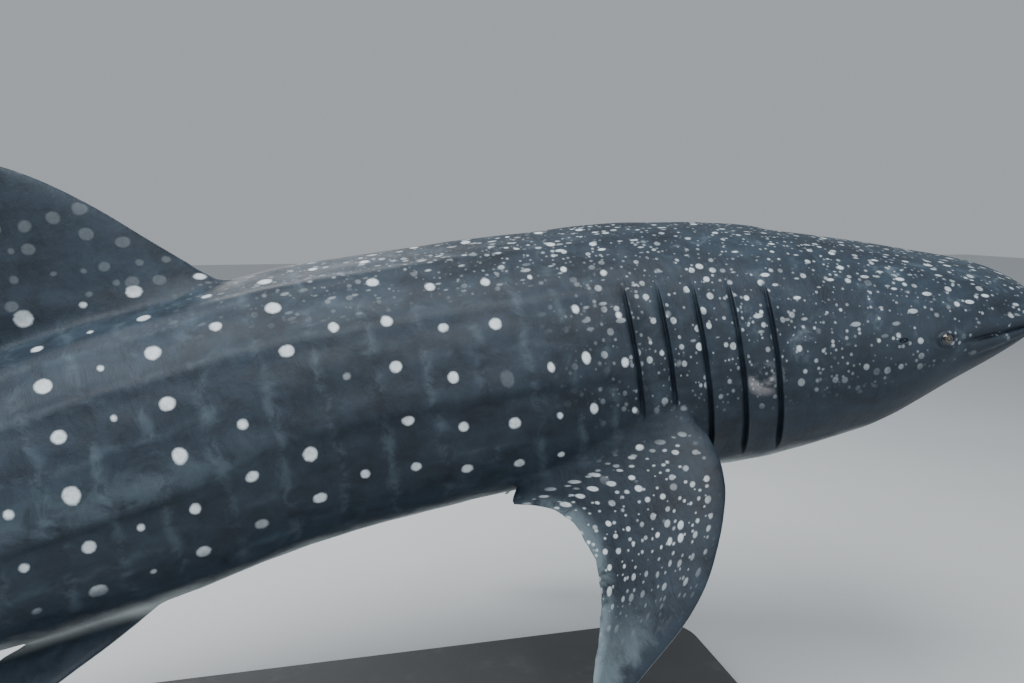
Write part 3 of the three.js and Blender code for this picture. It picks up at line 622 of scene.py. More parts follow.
def tail_lobe(upper):
    """Half of the tail fin: level sections stacked from the axis to the tip of the lobe."""
    if upper:
        outs = [0, 0.060, 0.140, 0.240, 0.360, 0.500, 0.660, 0.830, 1.000, 1.150, 1.260, 1.330]
        front = curve(outs, [5.350, 5.385, 5.455, 5.560, 5.695, 5.855, 6.040, 6.240, 6.450, 6.650,
                             6.815, 6.930])
        rear = curve(outs, [6.220, 6.228, 6.262, 6.332, 6.430, 6.548, 6.680, 6.800, 6.900, 6.968,
                            6.995, 6.988])
        thick = curve([0, 0.100, 0.300, 0.700, 1.330], [0.120, 0.104, 0.070, 0.044, 0.012])
        rows = np.concatenate([np.linspace(-0.045, 0.3, 20), np.linspace(0.325, 1.330, 44)])
    else:
        outs = [0, 0.060, 0.140, 0.230, 0.340, 0.460, 0.580, 0.680, 0.750, 0.790]
        front = curve(outs, [5.370, 5.400, 5.455, 5.530, 5.630, 5.740, 5.855, 5.965, 6.065, 6.135])
        rear = curve(outs, [6.220, 6.215, 6.200, 6.185, 6.168, 6.158, 6.160, 6.172, 6.190, 6.195])
        thick = curve([0, 0.100, 0.300, 0.790], [0.120, 0.100, 0.060, 0.010])
        rows = np.concatenate([np.linspace(-0.045, 0.3, 20), np.linspace(0.32, 0.790, 22)])
    return mid_fin("tail_fin", 0, 0, 1 if upper else -1, rows, front, rear, thick, fillet=0.014)


def root_smoothed(mesh, rounds=14, reach=5, fall=0.72, pull=0.6):
    """Relaxes the skin where fins grow out: vertices shared by faces of both materials move toward
    the mean of their neighbours, less with each step away."""
    n = len(mesh.vertices)
    co = array_of(mesh.vertices, "co", 3)
    a, b = array_of(mesh.edges, "vertices", 2, int).T
    loops = array_of(mesh.loops, "vertex_index", kind=int)
    total = array_of(mesh.polygons, "loop_total", kind=int)
    kind = np.repeat(array_of(mesh.polygons, "material_index", kind=int), total)
    on_body, on_fin = np.zeros(n, bool), np.zeros(n, bool)
    on_body[loops[kind == 0]] = True
    on_fin[loops[kind == 1]] = True
    weight = (on_body & on_fin).astype(float)
    for _ in range(reach):
        spread = weight.copy()
        np.maximum.at(spread, a, weight[b] * fall)
        np.maximum.at(spread, b, weight[a] * fall)
        weight = spread
    degree = np.bincount(a, minlength=n) + np.bincount(b, minlength=n)
    for _ in range(rounds):
        total_near = np.zeros_like(co)
        np.add.at(total_near, a, co[b])
        np.add.at(total_near, b, co[a])
        co += (pull * weight)[:, None] * (total_near / np.maximum(degree, 1)[:, None] - co)
    mesh.vertices.foreach_set("co", co.ravel())
    mesh.update()


def arc_table():
    """Length round the section from the side line up to each angle, above and below."""
    f = np.linspace(SNOUT, BODY_END, 160)
    a = np.radians(np.linspace(0, 90, 61))
    w, mid = width_at(f)[:, None], axis_at(f)[:, None]
    tables = []
    for h in (back_at(f)[:, None] - mid, mid - belly_at(f)[:, None]):
        y, z = w * np.cos(a), h * np.sin(a)
        step = np.hypot(np.diff(y, axis=1), np.diff(z, axis=1))
        tables.append(np.concatenate([np.zeros((len(f), 1)), np.cumsum(step, 1)], 1))
    return f, tables


def lay_of(p):
    """Where each point lies on the skin, from its body coordinates: s, the distance from the side
    line up over the back (or down, below 0), running on out along a fin, and the distance out."""
    f, turn, out = section_place(p)
    up = side_angle(turn)
    rows, (above, below) = arc_table()
    i = np.clip(np.searchsorted(rows, f) - 1, 0, len(rows) - 2)
    t = (f - rows[i]) / (rows[i + 1] - rows[i])
    x = np.abs(up) / 90 * 60
    j = np.clip(x.astype(int), 0, 59)
    u = x - j

    def read(table):
        lower = table[i, j] * (1 - u) + table[i, j + 1] * u
        upper = table[i + 1, j] * (1 - u) + table[i + 1, j + 1] * u
        return lower * (1 - t) + upper * t

    arc = np.where(up > 0, read(above), read(below)) + np.maximum(out, 0)
    return p[..., 0], np.sign(up) * arc, np.maximum(out, 0), up


def mark_lay(piece, straight):
    """Stores on the skin the coordinates that its markings are drawn in: lay (behind the snout,
    up from the side line, inside a gill slit), lattice (column, row and size of the flank's
    spots), zone (share of the length, share of the way up, out along a fin), fin (back, out, how
    far it faces up) and straight (body coordinates)."""
    s, v, out, up = lay_of(straight)
    column = np.array(SPOT_COLUMNS)
    ahead, behind = np.arange(COLUMNS_AHEAD, 0, -1), np.arange(1, COLUMNS_BEHIND + 1)
    first, last = column[0] - SPOT_PITCH * ahead, column[-1] + SPOT_PITCH * behind
    places = np.concatenate([first, column, last])
    rear = np.where(behind % 2 == 1, 0.6, 1.0) * np.linspace(1, 0.55, len(behind))
    sizes = np.concatenate([np.full(len(ahead), 0.4), SPOT_SIZES, rear])
    starts = np.interp(places, column, SPOT_STARTS)
    u = np.interp(s, places, np.arange(len(places)))
    near = np.floor(u) + smooth(0.3, 0.7, u - np.floor(u))
    row = (v - np.interp(near, np.arange(len(places)), starts)) / SPOT_ROW
    size = np.interp(near, np.arange(len(places)), sizes)
    back, along = pectoral_place(straight)
    f, turn, _ = section_place(straight)
    # The slit mask marks the skin inside each gill slit, where the material paints shade.
    slits = LENGTH * np.array(GILLS)[:, None] + SLIT_BEHIND
    slit = bump(s - gill_bow(f, turn) - slits, SLIT_WIDTH).max(0)
    slit *= smooth(-50, -38, up) * smooth(44, 32, up) * smooth(0.03, 0.01, out)
    facing_up = array_of(piece.data.vertex_normals, "vector", 3)[:, 2]
    store(piece.data, "lay", np.stack([s, v, slit], -1))
    store(piece.data, "lattice", np.stack([u, row, size], -1))
    store(piece.data, "zone", np.stack([s / LENGTH, up / 90, out], -1))
    store(piece.data, "fin", np.stack([back, along, facing_up], -1))
    store(piece.data, "straight", straight)


class Wire:
    """A socket that takes part in sums, so that a material reads as a formula."""

    def __init__(self, tree, socket):
        self.tree = tree
        self.socket = socket

    def node(self, kind, inputs=(), output=0, **settings):
        return Wire(self.tree, add_node(self.tree, kind, inputs, **settings).outputs[output])

    def math(self, operation, *others):
        return self.node("ShaderNodeMath", enumerate((self, *others)), operation=operation)

    def __add__(self, other):
        return self.math("ADD", other)

    __radd__ = __add__

    def __sub__(self, other):
        return self.math("SUBTRACT", other)

    def __rsub__(self, other):
        return self.node("ShaderNodeMath", {0: other, 1: self}, operation="SUBTRACT")

    def __mul__(self, other):
        return self.math("MULTIPLY", other)

    __rmul__ = __mul__

    def __truediv__(self, other):
        return self.math("DIVIDE", other)

    def low(self, other):
        return self.math("MINIMUM", other)

    def high(self, other):
        return self.math("MAXIMUM", other)

    def size(self):
        return self.math("ABSOLUTE")

    def rise(self, a, b):
        """0 up to a and 1 from b, along an S. b may be below a."""
        ends = {1: a, 2: b, 3: 0.0, 4: 1.0} if a < b else {1: b, 2: a, 3: 1.0, 4: 0.0}
        return self.node("ShaderNodeMapRange", {0: self, **ends}, interpolation_type="SMOOTHSTEP")

    def parts(self):
        split = add_node(self.tree, "ShaderNodeSeparateXYZ", {0: self})
        return [Wire(self.tree, socket) for socket in split.outputs]

    def noise(self, scale, detail=3.0, roughness=0.55, distortion=0.0):
        return self.node(
            "ShaderNodeTexNoise", {"Vector": self, "Scale": scale, "Detail": detail,
                                   "Roughness": roughness, "Distortion": distortion})

    def blend(self, colour_a, colour_b):
        """Colour a where this is 0, colour b where it is 1."""
        return self.node("ShaderNodeMix", {0: self, 6: colour_a, 7: colour_b}, output=2,
                         data_type="RGBA")


def feed(tree, socket, value):
    """Links a wire to a socket, or sets a plain value on it."""
    if isinstance(value, Wire):
        tree.links.new(value.socket, socket)
    else:
        socket.default_value = value


def add_node(tree, kind, inputs=(), **settings):
    """Any node: its settings first, then the values or links of its sockets."""
    made = tree.nodes.new(kind)
    for key, value in settings.items():
        setattr(made, key, value)
    for key, value in dict(inputs).items():
        feed(tree, made.inputs[key], value)
    return made


def linear(c):
    """A display value of 0 to 255 as light."""
    return ((c / 255 + 0.055) / 1.055) ** 2.4 if c > 10 else c / 255 / 12.92


def rgb(r, g, b):
    """A colour from its display values of 0 to 255."""
    return linear(r), linear(g), linear(b), 1.0


def new_material(name):
    """A material, its node tree and its surface shader."""
    made = bpy.data.materials.new(name)
    made.use_nodes = True
    return made, made.node_tree, made.node_tree.nodes["Principled BSDF"]


def attribute(tree, name):
    """The three numbers kept on the mesh under a name."""
    made = add_node(tree, "ShaderNodeAttribute", attribute_name=name)
    return Wire(tree, made.outputs["Vector"])


def object_place(tree):
    """The point's place in the object's own metres."""
    return Wire(tree, add_node(tree, "ShaderNodeTexCoord").outputs["Object"])


def joined(x, y, z=0.0):
    """Three numbers as one vector."""
    return x.node("ShaderNodeCombineXYZ", {0: x, 1: y, 2: z})


def bumped(height, strength):
    """The surface's direction, tilted by the slope of a height in metres."""
    return height.node("ShaderNodeBump", {"Height": height, "Strength": strength, "Distance": 1.0})


def cells(place, dimensions, cell, randomness):
    """Distance to the nearest of points scattered one to a cell, and that point's three draws.
    A cell is one unit of place and is counted as wide as given, in metres."""
    made = add_node(
        place.tree, "ShaderNodeTexVoronoi",
        {"Vector": place, "Scale": 1.0, "Randomness": randomness}, voronoi_dimensions=dimensions)
    away = Wire(place.tree, made.outputs["Distance"]) * cell
    return away, Wire(place.tree, made.outputs["Color"]).parts()


def spots(u, v, across, along, randomness, radius, soft, seed, vary=0.5):
    """Round spots, one a cell: cells are along by across metres, radius in metres varies."""
    place = joined(u / along + seed, v / across + seed * 1.7)
    away, draw = cells(place, "2D", across, randomness)
    reach = radius * (1.0 - vary + draw[0] * 2 * vary)
    return clamp((reach - away) / soft + 0.5), draw


def dots(place, scale, radius, soft, seed, vary=0.5, stretch=1.0):
    """Dots where balls, one to a cell of a three-way lattice, cut the skin; scale is the cell."""
    x, y, z = place.parts()
    at = joined(x / (scale * stretch) + seed, y / scale + seed * 1.7, z / scale - seed)
    away, draw = cells(at, "3D", scale, 0.9)
    reach = radius * (1.0 - vary + draw[0] * 2 * vary)
    return clamp((reach - away) / soft + 0.5), draw


def clamp(wire):
    """The value held between 0 and 1."""
    return wire.high(0.0).low(1.0)


class Fields:
    """What the markings are drawn from: places on the skin, and noise of three sizes."""

    def __init__(self, tree):
        self.s, self.v, self.slit = attribute(tree, "lay").parts()
        self.column, self.row, self.size = attribute(tree, "lattice").parts()
        self.f, self.up, self.out = attribute(tree, "zone").parts()
        self.back, self.along, self.faces_up = attribute(tree, "fin").parts()
        self.body = attribute(tree, "straight")
        self.y = self.body.parts()[1]
        self.left = self.y.math("GREATER_THAN", 0.0)
        self.place = object_place(tree)
        self.cloud = self.place.noise(2.0, 5.0, 0.6)
        self.mottle = self.place.noise(11.0, 6.0, 0.66, 0.5)
        self.fine = self.place.noise(70.0, 4.0, 0.6)
        self.head = self.f.rise(0.275, 0.185)
        self.over = self.f.rise(0.47, 0.22) * self.up.rise(0.42, 0.70)


def slate(at, sizes):
    """Cloudy slate, with painted sunlight paling the top of the back, and a pale band along the
    ridge above the side line that is partly the ridge's own stripe and partly painted highlight.
    """
    streak = joined(at.s * 3.0, at.v * 14.0, at.left * 5.0).noise(1.0, 4.0, 0.6)
    tone = (at.mottle - 0.42) * 1.5 + (at.cloud - 0.5) * 1.0 + (streak - 0.5) * 0.5 + 0.22
    # Painted sunlight: the top of the back is made paler and more mottled, as if lit from above.
    painted_sunlight = at.up.rise(0.20, 0.62) * at.out.rise(0.05, 0.0) * at.f.rise(0.62, 0.45)
    tone = clamp(tone + painted_sunlight * (at.cloud * 0.75 + at.mottle * 0.45 - 0.46))
    base = tone.blend(rgb(*sizes.skin_dark), rgb(*sizes.skin_pale))
    # Pale band just above the lowest ridge: partly the ridge's own pale stripe, partly a painted
    # highlight where light falls on the fold's upper face.
    ridge = (at.up + 0.02 - at.f * 0.02).rise(-0.03, 0.03) * at.up.rise(0.20, 0.05)
    ridge = ridge * at.f.rise(0.36, 0.46) * 0.20 * at.mottle.rise(0.3, 0.6)
    return ridge.blend(base, rgb(*RIDGE_STRIPE_AND_HIGHLIGHT_TONE))


def bars(at):
    """Faint bars between the columns and lines between the rows, broken up by the mottling."""
    wobble = (joined(at.s * 6.0, at.v * 6.0, at.left * 9.0).noise(1.0, 3.0) - 0.5) * 0.5
    bar = ((at.column + wobble + 0.5).math("FRACT") - 0.5).size().rise(0.30, 0.50)
    line = ((at.row + wobble + 0.5).math("FRACT") - 0.5).size().rise(0.36, 0.50)
    trunk = at.f.rise(0.17, 0.27) * at.up.rise(-0.62, -0.30) * at.out.rise(0.06, 0.0)
    bar = bar * at.mottle.rise(0.44, 0.64) * 0.6
    line = line * at.cloud.rise(0.44, 0.62) * 0.35 * at.mottle.rise(0.35, 0.6)
    return clamp(bar + line) * trunk


def flank_spots(at, sizes):
    """Large spots, one where each column meets a row, a little off it and of varied size."""
    jitter = joined((at.s + at.left * 31.3) * 4.1, at.v * 4.3).noise(1.0, 1.0) - 0.5
    column = at.column + at.left * 40.5 + jitter * 0.16
    away, draw = cells(joined(column, at.row + at.left * 0.5 + jitter * 0.12), "2D", SPOT_ROW, 0.08)
    reach = at.size * (0.72 + draw[0] * 0.42) * sizes.spot_radius
    flank = at.f.rise(0.19, 0.225) * at.up.rise(-0.42, -0.26) * at.out.rise(0.16, 0.02)
    rim = (at.fine - 0.5) * 0.005
    return clamp((reach + rim - away) / 0.008 + 0.5) * flank * draw[1].rise(0.06, 0.10)


def small_spots(at):
    """Close spots, short dashes and specks on the head and along the middle of the back."""
    small, pick = dots(at.body, scale=0.038, radius=0.0080, soft=0.004, seed=3.1, vary=0.6)
    dash, pick_dash = dots(at.body, scale=0.031, radius=0.0056, soft=0.003, seed=7.7, stretch=2.2)
    speck, pick_speck = dots(at.body, scale=0.019, radius=0.0040, soft=0.003, seed=11.9)
    dotted = at.head.high(at.over) * at.up.rise(-0.24, 0.12) * at.out.rise(0.05, 0.0)
    dotted = dotted * (at.mottle.rise(0.30, 0.62) * 0.75 + 0.35)
    small = small * pick[1].rise(0.18, 0.30) * (0.55 + pick[2] * 0.45)
    dash = dash * pick_dash[1].rise(0.38, 0.46) * at.up.rise(0.05, 0.4)
    speck = speck * pick_speck[1].rise(0.45, 0.55) * 0.5
    return small.high(dash).high(speck) * dotted


def fin_spots(at, paired):
    """Small spots in rows on the pectorals, and looser, larger ones on upright fins and tail."""
    warp = (at.place.noise(9.0, 2.0) - 0.5) * 0.02
    across = at.back * 0.46 + at.left * 7.0
    spot, pick = spots(across, at.along + warp, 0.050, 0.046, 0.55, 0.0078, 0.004, 5.3)
    speck, pick_speck = spots(across, at.along - warp, 0.029, 0.030, 0.9, 0.0036, 0.003, 9.1)
    spot = spot * pick[1].rise(0.10, 0.16) * (0.35 + pick[2] * 0.65)
    speck = speck * pick_speck[1].rise(0.35, 0.45) * 0.6
    rooted = at.along.rise(0.60, 0.30) * at.back.rise(0.02, 0.16)
    upright, pick_up = spots(
        at.s + at.left * 31.3 - warp, at.v + warp, 0.085, 0.085, 0.7, 0.0140, 0.006, 17.3)
    tall = at.out.rise(0.02, 0.07) * at.up.rise(0.3, 0.5)
    first_dorsal_share = at.f.rise(0.36, 0.38) * at.f.rise(0.56, 0.53)
    upright = upright * tall * pick_up[1].rise(0.15, 0.22) * (1.0 - first_dorsal_share * 0.88)
    return (spot.high(speck) * rooted * paired).high(upright * 0.85)


def worn(at, paired):
    """Pale blotches on head and shoulder, and a pale tip and rear edge on the pectorals."""
    blotch = at.mottle.rise(0.55, 0.76) * at.cloud.rise(0.42, 0.60)
    blotch = blotch * at.head.high(at.over * 0.8) * at.up.rise(-0.2, 0.1) * 0.40
    rear_edge = at.back.rise(0.84, 0.985) * at.mottle.rise(0.30, 0.55)
    toward_rear = (at.back - 0.25 + (at.mottle - 0.5) * 1.6).rise(0.0, 0.55)
    tip = at.along.rise(0.42, 0.66) * toward_rear
    return clamp(blotch + paired * clamp(rear_edge * 0.55 + tip * 0.40))


def belly_share(at):
    """1 on the pale belly and under the fins, with a mottled edge."""
    low = at.up + (at.mottle - 0.5) * 0.20 + (at.cloud - 0.5) * 0.16
    belly = low.rise(-0.50, -0.74) * at.out.rise(0.045, 0.005) * at.f.rise(0.84, 0.74)
    under = at.faces_up.rise(-0.10, -0.40) * at.out.rise(0.025, 0.06) * at.f.rise(0.60, 0.56)
    return belly.high(under * 0.8)


def scuff(at):
    """A pale oval patch, mottled, on the gill flaps of the right side."""
    along = (at.s - 1.106) / 0.085
    round_body = (at.v + 0.01) / 0.055
    patch = clamp(1.25 - (along * along + round_body * round_body)) * at.y.rise(0.0, -0.02)
    return patch * at.mottle.rise(0.42, 0.60) * at.slit.rise(0.5, 0.1)


def skin_material(sizes):
    """Slate blue-grey back and flanks with round pale spots in columns, faint pale bars between,
    small close spots on head and fins, and a pale belly."""
    made, tree, shader = new_material("shark_skin")
    at = Fields(tree)
    paired = at.along.rise(0.02, 0.10) * at.out.rise(0.01, 0.04)
    paired = paired * at.f.rise(0.16, 0.18) * at.f.rise(0.36, 0.34)
    marks = flank_spots(at, sizes).high(small_spots(at)).high(fin_spots(at, paired))
    # Spots are kept out of the gill slits, which are painted dark as shade.
    marks = clamp(marks * (0.80 + (at.fine - 0.5) * 0.7)) * at.slit.rise(0.55, 0.15)
    belly = belly_share(at)
    belly_tone = clamp(at.mottle * 1.4 - 0.2).blend(rgb(*BELLY_DULL), rgb(*BELLY_PALE))

    colour = (bars(at) * 0.40).blend(slate(at, sizes), rgb(*BAR_TONE))
    colour = worn(at, paired).blend(colour, rgb(*WORN_TONE))
    # Painted shade: the gill slits are darkened, standing in for the shadow inside their folds.
    colour = (at.slit.rise(0.3, 0.95) * 0.30).blend(colour, rgb(*SLIT_PAINTED_SHADE))
    colour = belly.blend(colour, belly_tone)
    colour = (scuff(at) * 0.55).blend(colour, rgb(*SCUFF_TONE))
    colour = clamp(marks * belly.rise(0.7, 0.2)).blend(colour, rgb(*sizes.spot_colour))
    feed(tree, shader.inputs["Base Color"], colour)
    feed(tree, shader.inputs["Roughness"], 0.48 + at.mottle * 0.22 - marks * 0.06)
    shader.inputs["Specular IOR Level"].default_value = 0.28
    shader.inputs["Coat Roughness"].default_value = 0.35
    feed(tree, shader.inputs["Coat Weight"], 0.04 + at.cloud * 0.05)

    # Skin grain: fine denticles, creases running round the body and small dents
    grain = joined(at.s * 260.0, at.v * 300.0, at.left).noise(1.0, 2.0, 0.6)
    crease = joined(at.s * 26.0, at.v * 7.0, at.left * 3.0).noise(1.0, 5.0, 0.65, 0.6)
    height = grain * 0.0009 + crease * 0.0040 + at.mottle * 0.0036
    height = height + at.fine * 0.0013 + marks * 0.0006
    feed(tree, shader.inputs["Normal"], bumped(height, 0.8))
    return made


def eye_material():
    """Near-black wet eye: by the ring attribute, a dark pupil, a thin bronze ring, a dark rim."""
    made, tree, shader = new_material("eye_wet")
    ring = attribute(tree, "ring").parts()[0]
    streak = object_place(tree).noise(420.0, 3.0)
    iris = ring.rise(0.30, 0.36) * ring.rise(0.66, 0.52)
    tone = (iris * (0.35 + streak * 0.6)).blend(rgb(*PUPIL_TONE), rgb(*IRIS_TONE))
    tone = ring.rise(0.80, 0.95).blend(tone, rgb(*RIM_TONE))
    feed(tree, shader.inputs["Base Color"], tone)
    feed(tree, shader.inputs["Roughness"], 0.06 + streak * 0.08)
    feed(tree, shader.inputs["Coat Weight"], 0.6 + ring * 0.2)
    return made


def steel_material():
    """Brushed steel: fine rings round each rod, dulled by handling."""
    made, tree, shader = new_material("stand_steel")
    place = object_place(tree)
    x, y, z = place.parts()
    brush = joined(x * 4.0, y * 4.0, z * 900.0).noise(1.0, 2.0)
    haze = place.noise(6.0, 4.0)
    tone = clamp(brush * 0.6 + haze * 0.4).blend(rgb(*STEEL_TONES[0]), rgb(*STEEL_TONES[1]))
    feed(tree, shader.inputs["Base Color"], tone)
    shader.inputs["Metallic"].default_value = 1.0
    feed(tree, shader.inputs["Roughness"], 0.24 + haze * 0.16 + brush * 0.10)
    feed(tree, shader.inputs["Normal"], bumped(brush * 0.0004, 0.5))
    return made


def base_material():
    """Matte dark paint with a fine orange-peel, faint dust and lighter worn edges."""
    made, tree, shader = new_material("stand_paint")
    place = object_place(tree)
    dust = place.noise(3.5, 6.0, 0.65)
    peel = place.noise(420.0, 2.0)
    tone = clamp(dust * 1.2 - 0.3).blend(rgb(*PAINT_TONES[0]), rgb(*PAINT_TONES[1]))
    edge = place.parts()[2].rise(0.050, 0.058) * dust.rise(0.5, 0.7)
    feed(tree, shader.inputs["Base Color"], (edge * 0.35).blend(tone, rgb(*PAINT_WORN)))
    feed(tree, shader.inputs["Roughness"], 0.52 + dust * 0.2)
    feed(tree, shader.inputs["Normal"], bumped(peel * 0.0003 + dust * 0.0004, 0.5))
    return made


def floor_material():
    """Plain pale studio floor with a faint unevenness."""
    made, tree, shader = new_material("studio_floor")
    soft = object_place(tree).noise(0.8, 4.0)
    tone = soft.blend(rgb(*FLOOR_TONES[0]), rgb(*FLOOR_TONES[1]))
    feed(tree, shader.inputs["Base Color"], tone)
    feed(tree, shader.inputs["Roughness"], 0.75 + soft * 0.1)
    return made


class WhaleSharkSettings(bpy.types.PropertyGroup):
    skin_dark: bpy.props.FloatVectorProperty(
        name="Dark skin", description="Darkest tone of the back and flanks, as display values",
        size=3, default=(17.0, 26.0, 36.0), min=0.0, max=255.0)
    skin_pale: bpy.props.FloatVectorProperty(
        name="Pale skin", description="Palest tone of the mottling on the back and flanks",
        size=3, default=(48.0, 63.0, 76.0), min=0.0, max=255.0)
    spot_colour: bpy.props.FloatVectorProperty(
        name="Spots", description="Tone of the round spots", size=3,
        default=(214.0, 224.0, 230.0), min=0.0, max=255.0)
    spot_radius: bpy.props.FloatProperty(
        name="Spot radius", description="Radius of the largest flank spots", default=0.022,
        min=0.005, max=0.06, unit="LENGTH")
    lens: bpy.props.FloatProperty(
        name="Lens", description="Focal length of the camera on a 36 mm wide frame",
        default=36.0 * FOCAL_PIXELS / FRAME_WIDTH, min=5.0, max=200.0, unit="CAMERA")


class WHALESHARK_OT_camera(bpy.types.Operator):
    """Sets the camera at the photograph's viewing angle"""

    bl_idname = "whaleshark.camera"
    bl_label = "Camera"

    def execute(self, context):
        data = bpy.data.cameras.new("camera")
        data.lens = context.scene.whaleshark.lens
        data.sensor_width = 36.0
        data.clip_end = 200.0
        camera = bpy.data.objects.new("camera", data)
        context.scene.collection.objects.link(camera)
        camera.location = AXIS + CAMERA_FROM_AXIS
        camera.rotation_euler = (math.pi / 2 + CAMERA_PITCH, 0.0, -CAMERA_YAW)
        context.scene.camera = camera
        return {"FINISHED"}


class WHALESHARK_OT_skin(bpy.types.Operator):
    """Builds the one skin over body and fins, with its markings"""

    bl_idname = "whaleshark.skin"
    bl_label = "Skin"

    def execute(self, context):
        flesh = bpy.data.materials.new("flesh")
        fin_flesh = bpy.data.materials.new("fin_flesh")
        skin = add_object("skin", body_mesh())
        skin.data.materials.append(flesh)
        face_outward(skin.data)
        fins = [pectoral(False), pectoral(True), pelvic(False), pelvic(True), first_dorsal(),
                small_fin("dorsal_two", 0.638, 0.243, 1), small_fin("anal", 0.66, -0.255, -1),
                tail_lobe(True), tail_lobe(False)]
        for mesh in fins:
            face_outward(mesh)
            mesh.materials.append(fin_flesh)
            fin = add_object(mesh.name, mesh)
            join = skin.modifiers.new("join", "BOOLEAN")
            join.operation = "UNION"
            join.solver = "MANIFOLD"
            join.material_mode = "TRANSFER"
            join.object = fin
            applied = bpy.data.meshes.new_from_object(
                skin.evaluated_get(context.evaluated_depsgraph_get()))
            skin.modifiers.clear()
            skin.data = applied
            bpy.data.objects.remove(fin)
        if len(skin.data.materials) < 2:
            raise RuntimeError("the fins didn't join the skin")
        root_smoothed(skin.data)
        straight = array_of(skin.data.vertices, "co", 3)
        skin.data.vertices.foreach_set("co", placed(straight).ravel())
        skin.data.flip_normals()
        skin.data.update()
        mark_lay(skin, straight)
        skin.data.materials.clear()
        skin.data.materials.append(skin_material(context.scene.whaleshark))
        skin.data.polygons.foreach_set("material_index", np.zeros(len(skin.data.polygons), int))
        skin.data.polygons.foreach_set("use_smooth", np.ones(len(skin.data.polygons), bool))
        skin.data.update()
        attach(skin, "root")
        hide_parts(*FLESH)
        return {"FINISHED"}


def eye_axes(turn):
    """The skin's place at the eye, without the socket, and the ways along, across and out."""
    step, step_turn = 0.002, 1.0

    def brow(f, t):
        return placed(brow_at(np.array(f), np.array(t)))

    c = brow(EYE_STATION, turn)
    along = unit(brow(EYE_STATION + step, turn) - c)
    out = unit(np.cross(along, unit(brow(EYE_STATION, turn + step_turn) - c)))
    inside = placed(np.array([EYE_STATION * LENGTH, 0, axis_at(EYE_STATION)]))
    if out @ (inside - c) > 0:
        out = -out
    return c, along, np.cross(out, along), out


def eye_mesh(name, turn):
    """A ball sunk in the socket, a little fuller in front. Its ring attribute rises from 0 at
    the middle of the pupil to 1 at the rim, and is past 1 on the hidden half."""
    pole, fuller, fuller_width, rim, hidden = 0.03, 0.05, 0.45, 0.76, 1.3
    c, along, across, out = eye_axes(turn)
    lon, lat = np.meshgrid(np.linspace(0, 2 * np.pi, 48, endpoint=False),
                           np.linspace(pole, np.pi - pole, 32), indexing="xy")
    r = EYE_RADIUS * (1 + fuller * bump(lat, fuller_width))
    local = np.stack([np.sin(lat) * np.cos(lon), np.sin(lat) * np.sin(lon), np.cos(lat)], -1)
    points = c - out * EYE_SINK + (local * r[..., None]) @ np.stack([along, across, out])
    mesh = grid_mesh(name, points)
    face_outward(mesh)
    ring = np.where(lat > np.pi / 2, hidden, np.sin(lat) / rim).ravel()
    store(mesh, "ring", np.repeat(np.concatenate([ring, [0.0, hidden]])[:, None], 3, 1))
    return mesh


class WHALESHARK_OT_eyes(bpy.types.Operator):
    """Builds the two eyes in their sockets"""

    bl_idname = "whaleshark.eyes"
    bl_label = "Eyes"

    def execute(self, context):
        material = eye_material()
        for side, turn in (("right", EYE_ANGLE), ("left", 180 - EYE_ANGLE)):
            mesh = eye_mesh("eye_" + side, turn)
            mesh.materials.append(material)
            eye = add_object("eye_%s_ball" % side, mesh)
            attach(eye, "root")
            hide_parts("eye_" + side)
        return {"FINISHED"}


class WHALESHARK_OT_stand(bpy.types.Operator):
    """Finishes the stand that the frame carries"""

    bl_idname = "whaleshark.stand"
    bl_label = "Stand"

    def execute(self, context):
        steel, paint = steel_material(), base_material()
        for name, material in (("stand_rod_front", steel), ("stand_rod_rear", steel),
                               ("stand_base", paint)):
            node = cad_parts[name]
            node.data.materials.clear()
            node.data.materials.append(material)
        return {"FINISHED"}


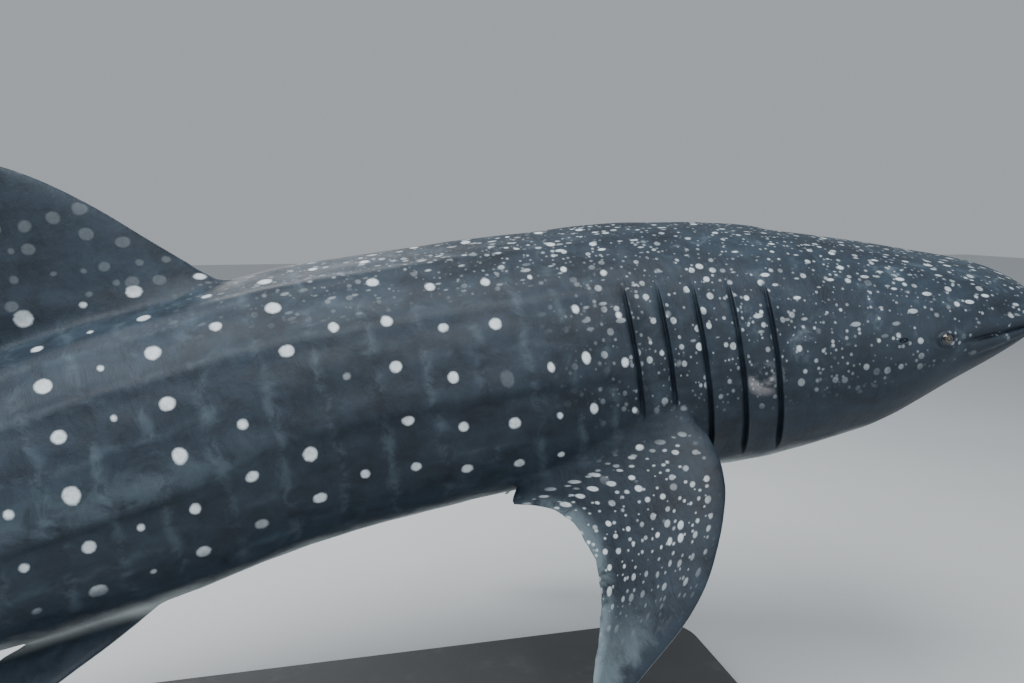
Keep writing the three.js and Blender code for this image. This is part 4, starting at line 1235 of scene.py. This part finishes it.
class WHALESHARK_OT_stage(bpy.types.Operator):
    """Sets the pale floor, the soft lights and the sky"""

    bl_idname = "whaleshark.stage"
    bl_label = "Stage"

    def execute(self, context):
        a = np.linspace(-FLOOR_REACH, FLOOR_REACH, FLOOR_LINES)
        x, y = np.meshgrid(a, a, indexing="ij")
        points = np.stack([x, y, np.full_like(x, -FLOOR_DROP)], -1)
        lines = np.arange(FLOOR_LINES - 1)
        k = (lines[:, None] * FLOOR_LINES + lines).ravel()
        faces = np.stack([k, k + FLOOR_LINES, k + FLOOR_LINES + 1, k + 1], -1)
        mesh = bpy.data.meshes.new("floor")
        mesh.from_pydata(points.reshape(-1, 3).tolist(), [], faces.tolist())
        floor = add_object("floor", mesh)
        mesh.materials.append(floor_material())
        for name, where, power in LIGHTS:
            data = bpy.data.lights.new(name, "AREA")
            data.size = LIGHT_WIDTH
            data.energy = power
            lamp = bpy.data.objects.new(name, data)
            lamp.location = where
            aim = np.array(LIGHT_AIM) - np.array(where)
            down = math.atan2(math.hypot(aim[0], aim[1]), -aim[2])
            lamp.rotation_euler = (down, 0, math.atan2(aim[1], aim[0]) - math.pi / 2)
            context.scene.collection.objects.link(lamp)
        world = bpy.data.worlds.new("studio")
        world.use_nodes = True
        background = world.node_tree.nodes["Background"]
        background.inputs["Color"].default_value = rgb(*SKY_TONE)
        background.inputs["Strength"].default_value = SKY_STRENGTH
        context.scene.world = world
        return {"FINISHED"}


class WHALESHARK_PT_panel(bpy.types.Panel):
    """Lists the pieces and their settings"""

    bl_idname = "WHALESHARK_PT_panel"
    bl_label = "Whale shark"
    bl_space_type = "VIEW_3D"
    bl_region_type = "UI"
    bl_category = "Whale shark"

    def draw(self, context):
        settings = context.scene.whaleshark
        for name in ("skin_dark", "skin_pale", "spot_colour", "spot_radius", "lens"):
            self.layout.prop(settings, name)
        for operator in OPERATORS:
            self.layout.operator(operator.bl_idname)


OPERATORS = (WHALESHARK_OT_camera, WHALESHARK_OT_skin, WHALESHARK_OT_eyes, WHALESHARK_OT_stand,
             WHALESHARK_OT_stage)
CLASSES = (WhaleSharkSettings, *OPERATORS, WHALESHARK_PT_panel)


def register():
    for item in CLASSES:
        bpy.utils.register_class(item)
    bpy.types.Scene.whaleshark = bpy.props.PointerProperty(type=WhaleSharkSettings)


def unregister():
    del bpy.types.Scene.whaleshark
    for item in reversed(CLASSES):
        bpy.utils.unregister_class(item)


def main():
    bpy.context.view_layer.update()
    register()
    bpy.ops.whaleshark.camera()
    bpy.ops.whaleshark.skin()
    bpy.ops.whaleshark.eyes()
    bpy.ops.whaleshark.stand()
    bpy.ops.whaleshark.stage()


if __name__ == "__main__":
    main()
